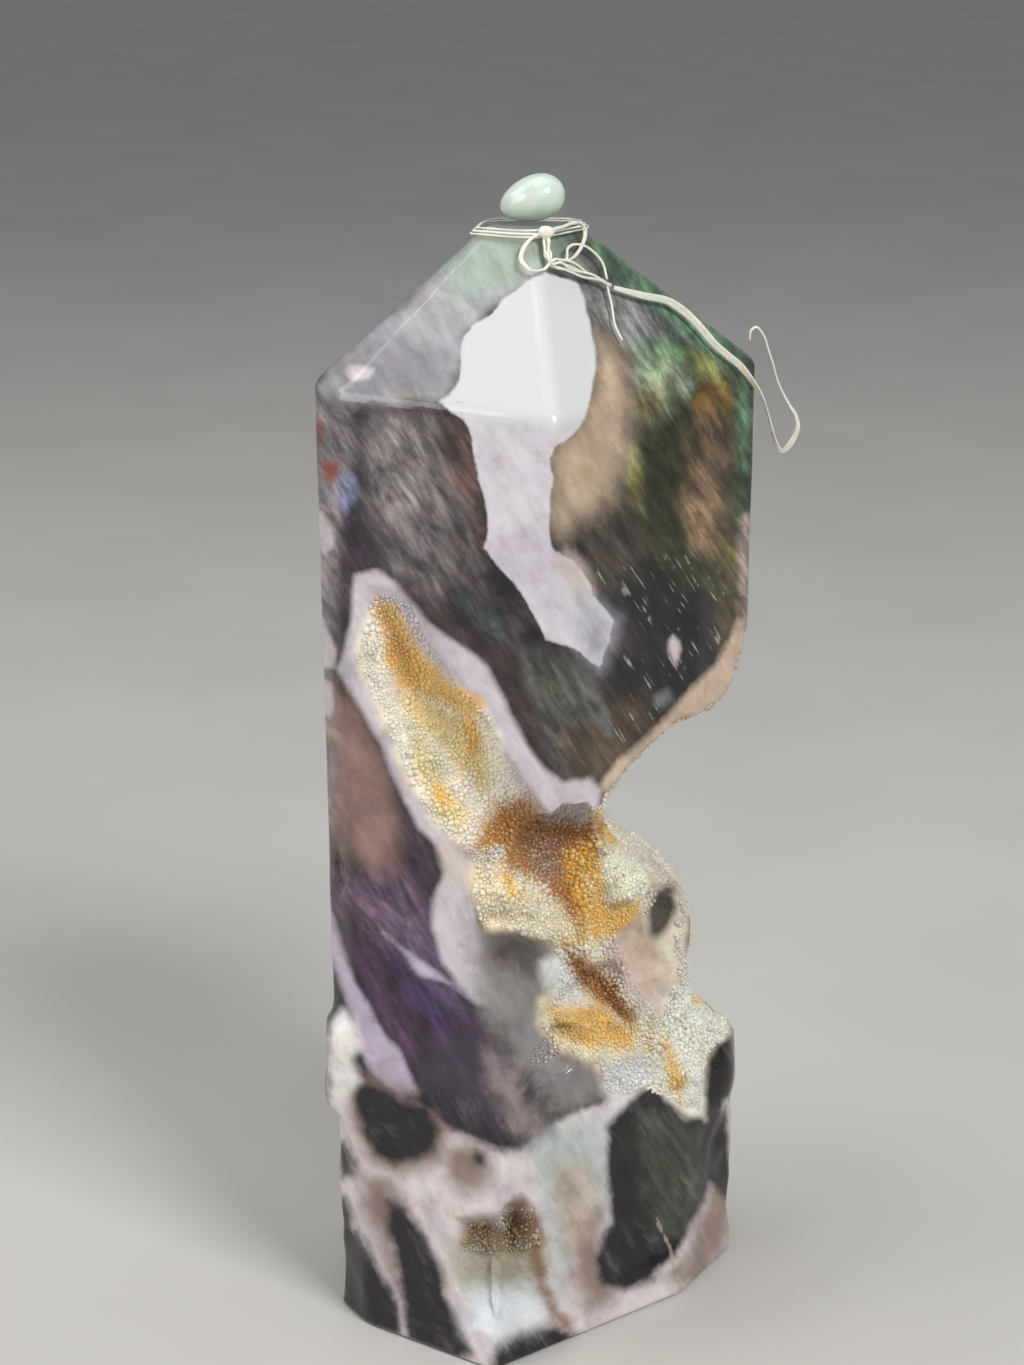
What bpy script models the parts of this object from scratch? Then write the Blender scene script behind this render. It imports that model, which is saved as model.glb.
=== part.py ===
"""Druzy moss agate tower: a polished, faceted point with natural crystal-lined hollows.

The stone stands on its flat base. The long trough, the middle hollow and the side notch are
one connected cavity, and two smaller hollows open below it. Each cavity is lined by a crust of
crystals. A small drop bead sits on the tip, tied on with a thin ribbon whose free end runs
over the right shoulder.

Lengths below are in millimetres, and MM turns them into metres. +Z is up, -Y is the front.
"""
import math

import bmesh
import bpy
from mathutils import Matrix, Vector, noise

MM = 0.001

# Driving dimensions of the stone
SHOULDER_HEIGHT = 117.5
TIP_HEIGHT = 134.8
TIP_SCALE = 0.2
TIP_CENTRE = (-1.6, -0.5)
BODY_LEVELS = 3
EDGE_BEVEL = 0.9
EDGE_ANGLE = 14.0
HALF_WIDTH = 24.0
HALF_DEPTH = 22.0

# Plan corners, anticlockwise from the left rear edge of the narrow left facet
BASE_OUTLINE = [(-25.3, -7), (-22, -12), (-6, -22.5), (18, -5), (25, 6), (22, 18), (3, 23), (-19, 18)]
SHOULDER_OUTLINE = [(-26, -7.5), (-23, -13), (1, -21.4), (18.3, -1.2), (25.3, 9), (22, 19), (3, 23),
                    (-20, 18)]
SHOULDER_LIFT = [0.8, 0.6, -0.8, -0.8, 0, 0.5, 0, 0.5]

# How deep the crystal crust is, the gap that it keeps to the stone, and how far it stays behind the faces
CRUST_GAP = 0.5
CRUST_DEPTH = 1.3
CRUST_SETBACK = 0.5

# The crystals: the tallest in each cavity, their width and the chance in their place, height and lean
CRYSTAL_HEIGHTS = {"main": 1.3, "lower": 1.0, "foot": 0.8}
CRYSTAL_WIDTH = 1.3
CRYSTAL_SCATTER = 0.4
CRYSTAL_SHORTEST = 0.35
CRYSTAL_LEAN = 0.5
CRYSTAL_CELL = 0.37

# Points closer than this after a cut are one point
WELD = 0.004

# The trough on the upper left face: points along its middle, each with a radius
TROUGH = [(-20.6, -16.4, 97.6, 3.6), (-18.2, -17.2, 92.2, 5.4), (-14.8, -18.8, 85.4, 6.2),
          (-10.4, -20.8, 78.2, 6.5), (-5.4, -22.6, 71.6, 6.5), (0.0, -21.8, 64.6, 6.0)]

# Hollows as (centre, radii)
MIDDLE_HOLLOW = ((2.4, -17.5, 65.0), (7.8, 9.0, 7.6))
LEDGE_SCOOP = ((20.5, -3.6, 34.8), (6.4, 6.8, 7.0))
LOWER_HOLLOWS = [((7.4, -13.6, 45.2), (6.6, 6.4, 5.0)), ((3.4, -17.4, 40.2), (7.0, 5.2, 4.4))]
FOOT_HOLLOW = ((-3.6, -23.0, 17.2), (4.4, 5.8, 6.8))

# The side notch, as an outline in X and Z at Y = 0 that runs back with a slight fall
NOTCH_OUTLINE = [(6.6, 67.4), (7.2, 62.0), (9.4, 59.0), (12.7, 57.6), (15.4, 55.2), (17.4, 53.2),
                 (18.2, 50.6), (18.0, 47.0), (17.8, 43.6), (18.5, 40.0), (18.4, 36.4), (21.0, 35.4),
                 (24.0, 33.9), (27.0, 32.6), (32.0, 38.0), (34.0, 56.0), (33.0, 74.0), (29.0, 88.0),
                 (24.9, 85.6), (23.6, 81.2), (21.8, 78.0), (19.2, 76.6), (16.2, 76.0), (12.8, 73.6),
                 (9.8, 70.8)]
NOTCH_FALL = 12.0
NOTCH_REACH = 34.0
NOTCH_STEPS = 18

# Lumps that stand a little proud of the polished faces, as (centre, radii)
LUMPS = [((-22.6, -8.4, 38.0), (3.2, 4.2, 4.6)), ((-22.8, -8.0, 31.0), (3.0, 4.0, 4.0)),
         ((-20.6, -10.4, 25.0), (3.4, 3.6, 4.4)), ((21.8, 3.0, 26.6), (3.8, 4.4, 6.0)),
         ((13.2, -5.2, 5.2), (6.0, 5.2, 4.6)), ((-14.0, -14.6, 4.4), (5.2, 4.2, 3.8))]

# Small pits in the faces, as (centre, radii)
PITS = [((-23.6, -13.4, 83.0), (1.6, 2.0, 3.4)), ((-24.6, -10.4, 60.0), (1.2, 1.6, 4.2)),
        ((-25.0, -11.0, 34.8), (1.5, 1.7, 1.2)), ((-11.0, -21.6, 50.5), (2.2, 1.4, 3.0)),
        ((10.4, -13.2, 19.0), (2.0, 1.5, 4.4)), ((24.0, 2.4, 21.0), (1.6, 1.6, 2.6)),
        ((-22.6, 10.0, 47.0), (3.0, 4.4, 8.0)), ((10.0, 22.0, 88.0), (5.6, 2.8, 9.0)),
        ((-8.0, 21.4, 24.0), (4.4, 2.8, 6.2))]

# The bead on the tip
BEAD_CENTRE = (-1.4, -0.4, 137.7)
BEAD_RADII = (3.75, 2.9, 2.55)
BEAD_TILT = -17.0
BEAD_FULLNESS = 0.16

# The ribbon: the band round the tip, its knot, and the strands tied in it, each with a radius
BAND_RADIUS = 0.3
BAND_DROP = 0.3
BAND_OFFSET = 0.95
KNOT_CENTRE = (0.1, -5.9, 134.7)
KNOT_RADII = (0.95, 0.7, 0.85)
TIED_STRANDS = {
    "bunch": (0.5, [(0.1, -5.8, 134.7), (0.1, -6.4, 133.7), (0.25, -7.4, 132.6), (0.5, -8.3, 131.7)]),
    "left_loop": (0.25, [(-0.2, -5.9, 134.7), (-1.0, -6.1, 134.4), (-1.9, -6.6, 133.8), (-2.6, -7.3, 132.8),
                         (-2.6, -8.2, 131.8), (-1.6, -9.2, 131.0), (-0.2, -9.0, 131.1), (0.5, -8.3, 131.7)]),
    "right_loop": (0.25, [(0.4, -5.7, 134.8), (1.9, -4.2, 135.1), (3.6, -2.2, 135.3), (4.5, -1.5, 134.3),
                          (4.2, -2.6, 132.9), (3.2, -4.6, 131.8), (1.8, -6.8, 131.5)]),
    "small_loop": (0.25, [(1.8, -6.8, 131.5), (2.4, -5.6, 131.8), (2.5, -4.6, 132.7), (3.3, -3.3, 133.0),
                          (4.8, -2.2, 132.5), (6.4, -1.9, 130.9), (7.0, -2.8, 129.0)]),
    "run": (0.5, [(0.5, -8.3, 131.7), (1.6, -7.4, 131.4), (4.5, -5.1, 130.0), (7.4, -3.2, 128.3)]),
    "loose_end": (0.22, [(7.0, -3.5, 128.4), (7.5, -5.0, 126.3), (7.8, -6.5, 124.5), (8.6, -7.3, 122.9)]),
}

# The free end, a route chosen by hand: over the right facet, past the shoulder, and hooked back
TAIL_WIDTH = 1.1
TAIL_ROUTE = [(7.75, -2.95, 128.1), (11.0, -0.8, 126.9), (13.9, 1.8, 125.9), (15.6, 2.9, 124.8),
              (16.9, 3.2, 123.7), (18.3, 3.3, 122.2), (19.8, 3.3, 120.5), (21.4, 3.7, 119.1),
              (22.9, 4.2, 117.8), (24.4, 4.9, 115.9), (25.6, 5.3, 114.0), (26.3, 5.5, 112.2),
              (26.9, 5.5, 110.3), (27.4, 5.5, 108.6), (28.1, 5.3, 107.4), (29.1, 5.1, 108.3),
              (29.9, 4.9, 110.1), (29.7, 4.7, 111.7), (28.8, 4.6, 113.2), (27.9, 4.6, 114.8),
              (27.3, 4.6, 116.2), (26.8, 4.6, 117.9), (26.2, 4.6, 119.6), (25.7, 4.6, 121.1),
              (24.8, 4.5, 122.3), (24.0, 4.3, 121.9), (23.9, 4.2, 120.8)]


def point(values):
    """Turns millimetres into a point in metres."""
    return Vector(values[:3]) * MM


def clear_scene():
    for item in list(bpy.data.objects):
        bpy.data.objects.remove(item, do_unlink=True)


def new_collection(name):
    collection = bpy.data.collections.new(name)
    bpy.context.scene.collection.children.link(collection)
    return collection


def new_material(name, colour, roughness, transmission=0.0):
    material = bpy.data.materials.new(name)
    material.use_nodes = True
    shader = material.node_tree.nodes["Principled BSDF"]
    shader.inputs["Base Color"].default_value = (*colour, 1.0)
    shader.inputs["Roughness"].default_value = roughness
    shader.inputs["Metallic"].default_value = 0.0
    shader.inputs["Transmission Weight"].default_value = transmission
    return material


def new_object(name, mesh, collection, material=None):
    item = bpy.data.objects.new(name, mesh)
    collection.objects.link(item)
    if material:
        mesh.materials.append(material)
    return item


def as_cutter(item):
    """Marks an object as a tool, which isn't part of the stone."""
    item.hide_render = True
    item.display_type = "WIRE"
    return item


def boolean(item, other, operation):
    """Joins or cuts an object. The manifold solver keeps these thin, rough linings whole."""
    modifier = item.modifiers.new(operation.title(), "BOOLEAN")
    modifier.operation = operation
    modifier.solver = "MANIFOLD"
    modifier.object = other


def evaluated_copy(item):
    """The mesh of an object with its modifiers applied."""
    bpy.context.view_layer.update()
    graph = bpy.context.evaluated_depsgraph_get()
    return bpy.data.meshes.new_from_object(item.evaluated_get(graph))


def largest_body(mesh):
    """Drops the crumbs that a cut leaves loose, and keeps the largest body."""
    work = bmesh.new()
    work.from_mesh(mesh)
    bmesh.ops.remove_doubles(work, verts=work.verts, dist=WELD * MM)
    bmesh.ops.dissolve_degenerate(work, edges=work.edges, dist=WELD * MM)
    bmesh.ops.triangulate(work, faces=work.faces)
    bodies = []
    seen = set()
    for start in work.faces:
        if start in seen:
            continue
        body = {start}
        front = [start]
        while front:
            for edge in front.pop().edges:
                for face in edge.link_faces:
                    if edge.is_manifold and face not in body:
                        body.add(face)
                        front.append(face)
        seen |= body
        bodies.append(body)
    keep = max(bodies, key=len)
    bmesh.ops.delete(work, geom=[face for face in work.faces if face not in keep], context="FACES")
    work.to_mesh(mesh)
    work.free()
    return mesh


def settle(item, collection, material):
    """Applies an object's modifiers, keeps its largest body and puts it in the model."""
    mesh = largest_body(evaluated_copy(item))
    name = item.name
    bpy.data.objects.remove(item, do_unlink=True)
    mesh.materials.clear()
    return new_object(name, mesh, collection, material)


def rough(place, size, seed):
    """Smooth noise from -1 to 1 with two octaves; size is the width of its lumps."""
    where = place / (size * MM) + Vector((seed * 7.3, seed * 3.1, seed * 5.7))
    return noise.noise(where) + 0.45 * noise.noise(where * 2.3)


def drift(place, size):
    """A smooth pseudo-random direction that depends on the place only."""
    where = place / (size * MM)
    return Vector([noise.noise(where + Vector((shift, 0, shift))) for shift in (3.7, 11.9, 23.1)])


def body_ring(level):
    """A plan ring of the stone, from 0 at the base to 1 at the shoulder."""
    ring = []
    for low, high, lift in zip(BASE_OUTLINE, SHOULDER_OUTLINE, SHOULDER_LIFT):
        x = low[0] + (high[0] - low[0]) * level
        y = low[1] + (high[1] - low[1]) * level
        ring.append((x, y, (SHOULDER_HEIGHT + lift) * level))
    return ring


def tip_ring():
    centre = Vector(TIP_CENTRE)
    ring = []
    for corner in SHOULDER_OUTLINE:
        place = centre + Vector(corner) * TIP_SCALE
        ring.append((place.x, place.y, TIP_HEIGHT))
    return ring


def envelope_mesh(name, setback=0.0):
    """The faceted outer form, a loft through unlike rings, all set back by the same amount."""
    rings = [body_ring(step / BODY_LEVELS) for step in range(BODY_LEVELS + 1)]
    rings.append(tip_ring())
    shrink = Vector((1 - setback / HALF_WIDTH, 1 - setback / HALF_DEPTH, 1))
    work = bmesh.new()
    loops = []
    for ring in rings:
        loops.append([work.verts.new(point(Vector(corner) * shrink)) for corner in ring])
    count = len(loops[0])
    for lower, upper in zip(loops, loops[1:]):
        for index in range(count):
            after = (index + 1) % count
            work.faces.new((lower[index], lower[after], upper[after], upper[index]))
    work.faces.new(list(reversed(loops[0])))
    work.faces.new(loops[-1])
    bmesh.ops.recalc_face_normals(work, faces=work.faces)
    mesh = bpy.data.meshes.new(name)
    work.to_mesh(mesh)
    work.free()
    return mesh


def roughened(mesh, seed, inset=0.0, spikes=0.0, height=0.55, size=5.0):
    """Makes a closed form lumpy, draws it in, and dents it with crystal-shaped pits."""
    work = bmesh.new()
    work.from_mesh(mesh)
    bmesh.ops.recalc_face_normals(work, faces=work.faces)
    work.normal_update()
    moves = [(v, v.normal * (rough(v.co, size, seed) * height - inset) * MM) for v in work.verts]
    for vertex, move in moves:
        vertex.co += move
    if spikes:
        for vertex in work.verts:
            vertex.co += drift(vertex.co, CRYSTAL_WIDTH) * CRYSTAL_SCATTER * MM
        work.normal_update()
        poked = bmesh.ops.poke(work, faces=work.faces)
        work.normal_update()
        for vertex in poked["verts"]:
            chance = noise.cell_vector(vertex.co / (CRYSTAL_CELL * MM))
            share = CRYSTAL_SHORTEST + (1 - CRYSTAL_SHORTEST) * chance.x
            vertex.co -= vertex.normal * spikes * share * MM
            vertex.co += (chance - Vector((0.5, 0.5, 0.5))) * CRYSTAL_LEAN * MM
    bmesh.ops.triangulate(work, faces=work.faces)
    work.to_mesh(mesh)
    work.free()
    return mesh


def ball(name, hollow, seed, collection, detail=3, **finish):
    """A lumpy ellipsoid."""
    centre, radii = hollow
    work = bmesh.new()
    bmesh.ops.create_icosphere(work, subdivisions=detail, radius=1.0)
    for vertex in work.verts:
        vertex.co = Vector(a * b for a, b in zip(vertex.co, radii)) * MM + point(centre)
    mesh = bpy.data.meshes.new(name)
    work.to_mesh(mesh)
    work.free()
    roughened(mesh, seed, **finish)
    return as_cutter(new_object(name, mesh, collection))


def smooth_route(points, steps):
    """Points of a smooth curve through the given ones, with the radius carried along."""
    values = [Vector(p) for p in points]
    values = [values[0] * 2 - values[1]] + values + [values[-1] * 2 - values[-2]]
    route = []
    for index in range(1, len(values) - 2):
        a, b, c, d = values[index - 1:index + 3]
        for step in range(steps):
            t = step / steps
            route.append(0.5 * (2 * b + (c - a) * t + (2 * a - 5 * b + 4 * c - d) * t * t
                                + (3 * b - a - 3 * c + d) * t * t * t))
    route.append(values[-2])
    return route


def tube_object(name, points, radius, collection, sides=2):
    """A round strand along points in millimetres, as a curve with filled caps."""
    curve = bpy.data.curves.new(name, "CURVE")
    curve.dimensions = "3D"
    curve.bevel_depth = radius * MM
    curve.bevel_resolution = sides
    curve.use_fill_caps = True
    spline = curve.splines.new("POLY")
    spline.points.add(len(points) - 1)
    for knot, place in zip(spline.points, points):
        knot.co = (*point(place), 1.0)
        if len(place) > 3:
            knot.radius = place[3] / radius
    item = bpy.data.objects.new(name, curve)
    collection.objects.link(item)
    return item


def meshed(item, collection, material=None):
    """Turns a curve object into a mesh object with welded caps."""
    mesh = evaluated_copy(item)
    work = bmesh.new()
    work.from_mesh(mesh)
    bmesh.ops.remove_doubles(work, verts=work.verts, dist=0.00001)
    bmesh.ops.recalc_face_normals(work, faces=work.faces)
    work.to_mesh(mesh)
    work.free()
    name = item.name
    place = item.matrix_world.copy()
    bpy.data.objects.remove(item, do_unlink=True)
    result = new_object(name, mesh, collection, material)
    result.matrix_world = place
    return result


def trough_cutter(name, collection, **finish):
    route = [tuple(p) for p in smooth_route([Vector(p) for p in TROUGH], 3)]
    item = meshed(tube_object(name, route, 5.0, collection, sides=4), collection)
    roughened(item.data, 2, **finish)
    return as_cutter(item)


def notch_cutter(name, collection, **finish):
    """The side notch: its outline drawn out along Y with a slight fall to the back."""
    fall = math.tan(math.radians(NOTCH_FALL))
    work = bmesh.new()
    rings = []
    for step in range(NOTCH_STEPS + 1):
        y = -NOTCH_REACH + 2 * NOTCH_REACH * step / NOTCH_STEPS
        rings.append([work.verts.new(point((x, y, z - y * fall))) for x, z in NOTCH_OUTLINE])
    count = len(NOTCH_OUTLINE)
    for lower, upper in zip(rings, rings[1:]):
        for index in range(count):
            after = (index + 1) % count
            work.faces.new((lower[index], lower[after], upper[after], upper[index]))
    work.faces.new(rings[0])
    work.faces.new(list(reversed(rings[-1])))
    mesh = bpy.data.meshes.new(name)
    work.to_mesh(mesh)
    work.free()
    roughened(mesh, 5, **finish)
    return as_cutter(new_object(name, mesh, collection))


def main_cavity(label, tools, **finish):
    """The connected cavity: trough, middle hollow, side notch and the scoop on its ledge."""
    return [notch_cutter("notch_" + label, tools, **finish),
            trough_cutter("trough_" + label, tools, **finish),
            ball("middle_" + label, MIDDLE_HOLLOW, 3, tools, **finish),
            ball("scoop_" + label, LEDGE_SCOOP, 4, tools, **finish)]


def lower_cavity(label, tools, **finish):
    detail = 3 if "spikes" in finish else 2
    return [ball("lower_%d_%s" % (index, label), hollow, 6 + index, tools, detail, **finish)
            for index, hollow in enumerate(LOWER_HOLLOWS)]


def foot_cavity(label, tools, **finish):
    detail = 3 if "spikes" in finish else 2
    return [ball("foot_" + label, FOOT_HOLLOW, 9, tools, detail, **finish)]


CAVITIES = {"main": main_cavity, "lower": lower_cavity, "foot": foot_cavity}


def make_tower(model, tools, material):
    """The stone, with bevelled edges, lumps, hollows and pits."""
    tower = new_object("tower", envelope_mesh("tower"), model, material)
    bevel = tower.modifiers.new("Polished edges", "BEVEL")
    bevel.width = EDGE_BEVEL * MM
    bevel.segments = 2
    bevel.limit_method = "ANGLE"
    bevel.angle_limit = math.radians(EDGE_ANGLE)
    for index, lump in enumerate(LUMPS):
        item = ball("lump_%d" % index, lump, 20 + index, tools, detail=2, height=0.4, size=3.0)
        boolean(tower, item, "UNION")
    for cavity in CAVITIES.values():
        for item in cavity("cut", tools):
            boolean(tower, item, "DIFFERENCE")
    for index, pit in enumerate(PITS):
        item = ball("pit_%d" % index, pit, 40 + index, tools, detail=2, height=0.4, size=3.0)
        boolean(tower, item, "DIFFERENCE")
    return settle(tower, model, material)


def make_crust(name, cavity, model, tools, material):
    """A lining of crystals: the hollow drawn in a little, less the hollow of its crystal tips."""
    outer = CAVITIES[cavity]("outer", tools, inset=CRUST_GAP)
    inner = CAVITIES[cavity]("inner", tools, inset=CRUST_GAP + CRUST_DEPTH, spikes=CRYSTAL_HEIGHTS[cavity])
    crust = new_object(name, outer[0].data.copy(), model, material)
    for item in outer[1:]:
        boolean(crust, item, "UNION")
    limit = as_cutter(new_object("limit_" + cavity, envelope_mesh("limit_" + cavity, CRUST_SETBACK), tools))
    boolean(crust, limit, "INTERSECT")
    for item in inner:
        boolean(crust, item, "DIFFERENCE")
    return settle(crust, model, material)


def make_bead(model, material):
    """A polished drop, fuller at its right end."""
    bpy.ops.mesh.primitive_uv_sphere_add(segments=16, ring_count=10, radius=1.0)
    bead = bpy.context.active_object
    bead.name = "bead"
    bead.data.name = "bead"
    for collection in list(bead.users_collection):
        collection.objects.unlink(bead)
    model.objects.link(bead)
    turn = Matrix.Rotation(math.radians(BEAD_TILT), 4, "Y")
    for vertex in bead.data.vertices:
        fullness = 1.0 + BEAD_FULLNESS * vertex.co.x
        shape = Vector((vertex.co.x * BEAD_RADII[0], vertex.co.y * BEAD_RADII[1] * fullness,
                        vertex.co.z * BEAD_RADII[2] * fullness))
        vertex.co = turn @ (shape * MM) + point(BEAD_CENTRE)
    bead.data.materials.append(material)
    bead.data.shade_smooth()
    return bead


def band_strand(tools):
    """The ribbon wound once round the tip, just under its flat top."""
    level = BAND_DROP / (TIP_HEIGHT - SHOULDER_HEIGHT)
    ring = []
    for upper, lower in zip(tip_ring(), body_ring(1.0)):
        place = Vector(upper).lerp(Vector(lower), level)
        outward = Vector((place.x - TIP_CENTRE[0], place.y - TIP_CENTRE[1], 0)).normalized()
        ring.append(place + outward * BAND_OFFSET)
    closed = smooth_route(ring + ring[:3], 3)[3:3 + 3 * len(ring)]
    band = tube_object("band", closed, BAND_RADIUS, tools, sides=1)
    band.data.splines[0].use_cyclic_u = True
    band.data.use_fill_caps = False
    return as_cutter(meshed(band, tools))


def make_tie(model, tools, material):
    """The tied part of the ribbon: band, knot, loops and strands, fused in one piece."""
    tie = ball("ribbon_tie", (KNOT_CENTRE, KNOT_RADII), 11, tools, detail=2, height=0.12, size=1.5)
    boolean(tie, band_strand(tools), "UNION")
    for name, (radius, points) in TIED_STRANDS.items():
        strand = tube_object(name, smooth_route(points, 2), radius, tools, sides=1)
        boolean(tie, as_cutter(meshed(strand, tools)), "UNION")
    return settle(tie, model, material)


def make_tail(model, material):
    """The free end of the ribbon, as a plain tube along its route."""
    return meshed(tube_object("ribbon_tail", TAIL_ROUTE, TAIL_WIDTH / 2, model), model, material)


def main():
    clear_scene()
    model = new_collection("druzy_moss_agate_tower")
    tools = new_collection("cutters")
    agate = new_material("moss_agate", (0.30, 0.26, 0.25), 0.15)
    druzy = new_material("druzy_crystal", (0.82, 0.68, 0.48), 0.35)
    drop = new_material("pale_green_bead", (0.78, 0.86, 0.76), 0.08, 0.4)
    ribbon = new_material("cream_ribbon", (0.90, 0.88, 0.80), 0.45)
    make_tower(model, tools, agate)
    make_crust("druzy_crust_main", "main", model, tools, druzy)
    make_crust("druzy_crust_lower", "lower", model, tools, druzy)
    make_crust("druzy_crust_foot", "foot", model, tools, druzy)
    make_bead(model, drop)
    make_tie(model, tools, ribbon)
    make_tail(model, ribbon)


main()
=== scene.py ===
import math

import bmesh
import bpy
import numpy as np
from mathutils import Matrix, Vector, noise
from mathutils.bvhtree import BVHTree


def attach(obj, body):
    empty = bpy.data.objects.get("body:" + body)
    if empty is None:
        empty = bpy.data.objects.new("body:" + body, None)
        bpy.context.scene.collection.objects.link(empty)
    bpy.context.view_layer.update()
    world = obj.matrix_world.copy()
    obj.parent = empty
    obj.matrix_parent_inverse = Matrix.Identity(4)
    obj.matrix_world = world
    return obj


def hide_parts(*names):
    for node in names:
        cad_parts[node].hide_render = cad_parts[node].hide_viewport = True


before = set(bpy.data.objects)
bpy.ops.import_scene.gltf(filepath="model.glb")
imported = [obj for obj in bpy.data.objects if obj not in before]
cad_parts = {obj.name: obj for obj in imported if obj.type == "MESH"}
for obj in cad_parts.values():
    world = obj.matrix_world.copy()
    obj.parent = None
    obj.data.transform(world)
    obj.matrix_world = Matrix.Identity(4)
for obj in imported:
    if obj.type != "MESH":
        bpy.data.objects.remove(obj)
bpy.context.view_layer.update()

mm = 0.001

# The photograph's camera: size in pixels, focal length in pixels, place in mm, pitch in degrees
photo = {"width": 1024, "height": 1365, "focal": 2534.0, "place": (-3.7, -288.1, 174.0), "pitch": 18.0}


def report(words):
    print("scene:", words)


def deselectAll():
    if bpy.context.object and bpy.context.object.mode != "OBJECT":
        bpy.ops.object.mode_set(mode="OBJECT")
    bpy.ops.object.select_all(action="DESELECT")


def activate(piece):
    deselectAll()
    piece.select_set(True)
    bpy.context.view_layer.objects.active = piece


def edit(piece):
    activate(piece)
    bpy.ops.object.mode_set(mode="EDIT")


def leaveEdit():
    bpy.ops.object.mode_set(mode="OBJECT")


def named(piece, name):
    piece.name = name
    piece.data.name = name
    return piece


def positions(mesh):
    # the vertices of a mesh as an array, in mm
    found = np.empty(len(mesh.vertices) * 3)
    mesh.vertices.foreach_get("co", found)
    return found.reshape(-1, 3) / mm


def normalsOf(mesh):
    found = np.empty(len(mesh.vertices) * 3)
    mesh.vertices.foreach_get("normal", found)
    return found.reshape(-1, 3)


def setPositions(mesh, places):
    mesh.vertices.foreach_set("co", (np.asarray(places) * mm).ravel())
    mesh.update()


def eased(share):
    # a share from 0 to 1 that starts and ends softly
    return share * share * (3 - 2 * share)


def smoothRoute(points, steps):
    # a smooth curve through the points, with any further values carried along
    values = [np.array(p, float) for p in points]
    values = [values[0] * 2 - values[1]] + values + [values[-1] * 2 - values[-2]]
    route = []
    for index in range(1, len(values) - 2):
        a, b, c, d = values[index - 1:index + 3]
        for step in range(steps):
            t = step / steps
            route.append(0.5 * (2 * b + (c - a) * t + (2 * a - 5 * b + 4 * c - d) * t * t
                                + (3 * b - a - 3 * c + d) * t * t * t))
    route.append(values[-2])
    return route


# Camera

def placeCamera():
    place = Vector(photo["place"]) * mm
    tilt = math.radians(90 - photo["pitch"])
    bpy.ops.object.camera_add(location=place, rotation=(tilt, 0, 0))
    camera = bpy.context.object
    camera.data.sensor_fit = "VERTICAL"
    camera.data.sensor_height = 36
    camera.data.lens = photo["focal"] * 36 / photo["height"]
    camera.data.clip_start = 0.01
    bpy.context.scene.camera = camera
    report("camera placed")


def photoPixels(places):
    # where points in mm lie in the photograph, in its own pixels
    pitch = math.radians(photo["pitch"])
    forward = np.array([0, math.cos(pitch), -math.sin(pitch)])
    up = np.array([0, math.sin(pitch), math.cos(pitch)])
    offset = places - np.array(photo["place"])
    depth = offset @ forward
    across = photo["width"] / 2 + photo["focal"] * offset[:, 0] / depth
    down = photo["height"] / 2 - photo["focal"] * (offset @ up) / depth
    return np.column_stack([across, down])


# Materials

def tint(red, green, blue):
    # a colour seen on screen, 0 to 255, as the linear value that the shader takes
    linear = []
    for level in (red / 255, green / 255, blue / 255):
        linear.append(level / 12.92 if level <= 0.04045 else ((level + 0.055) / 1.055) ** 2.4)
    return (*linear, 1.0)


def stoneTint(red, green, blue):
    # the same for the polished stone, less the pale haze that its gloss adds
    haze = 0.026
    return (*[max(level - haze, level * 0.3) for level in tint(red, green, blue)[:3]], 1.0)


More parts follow.
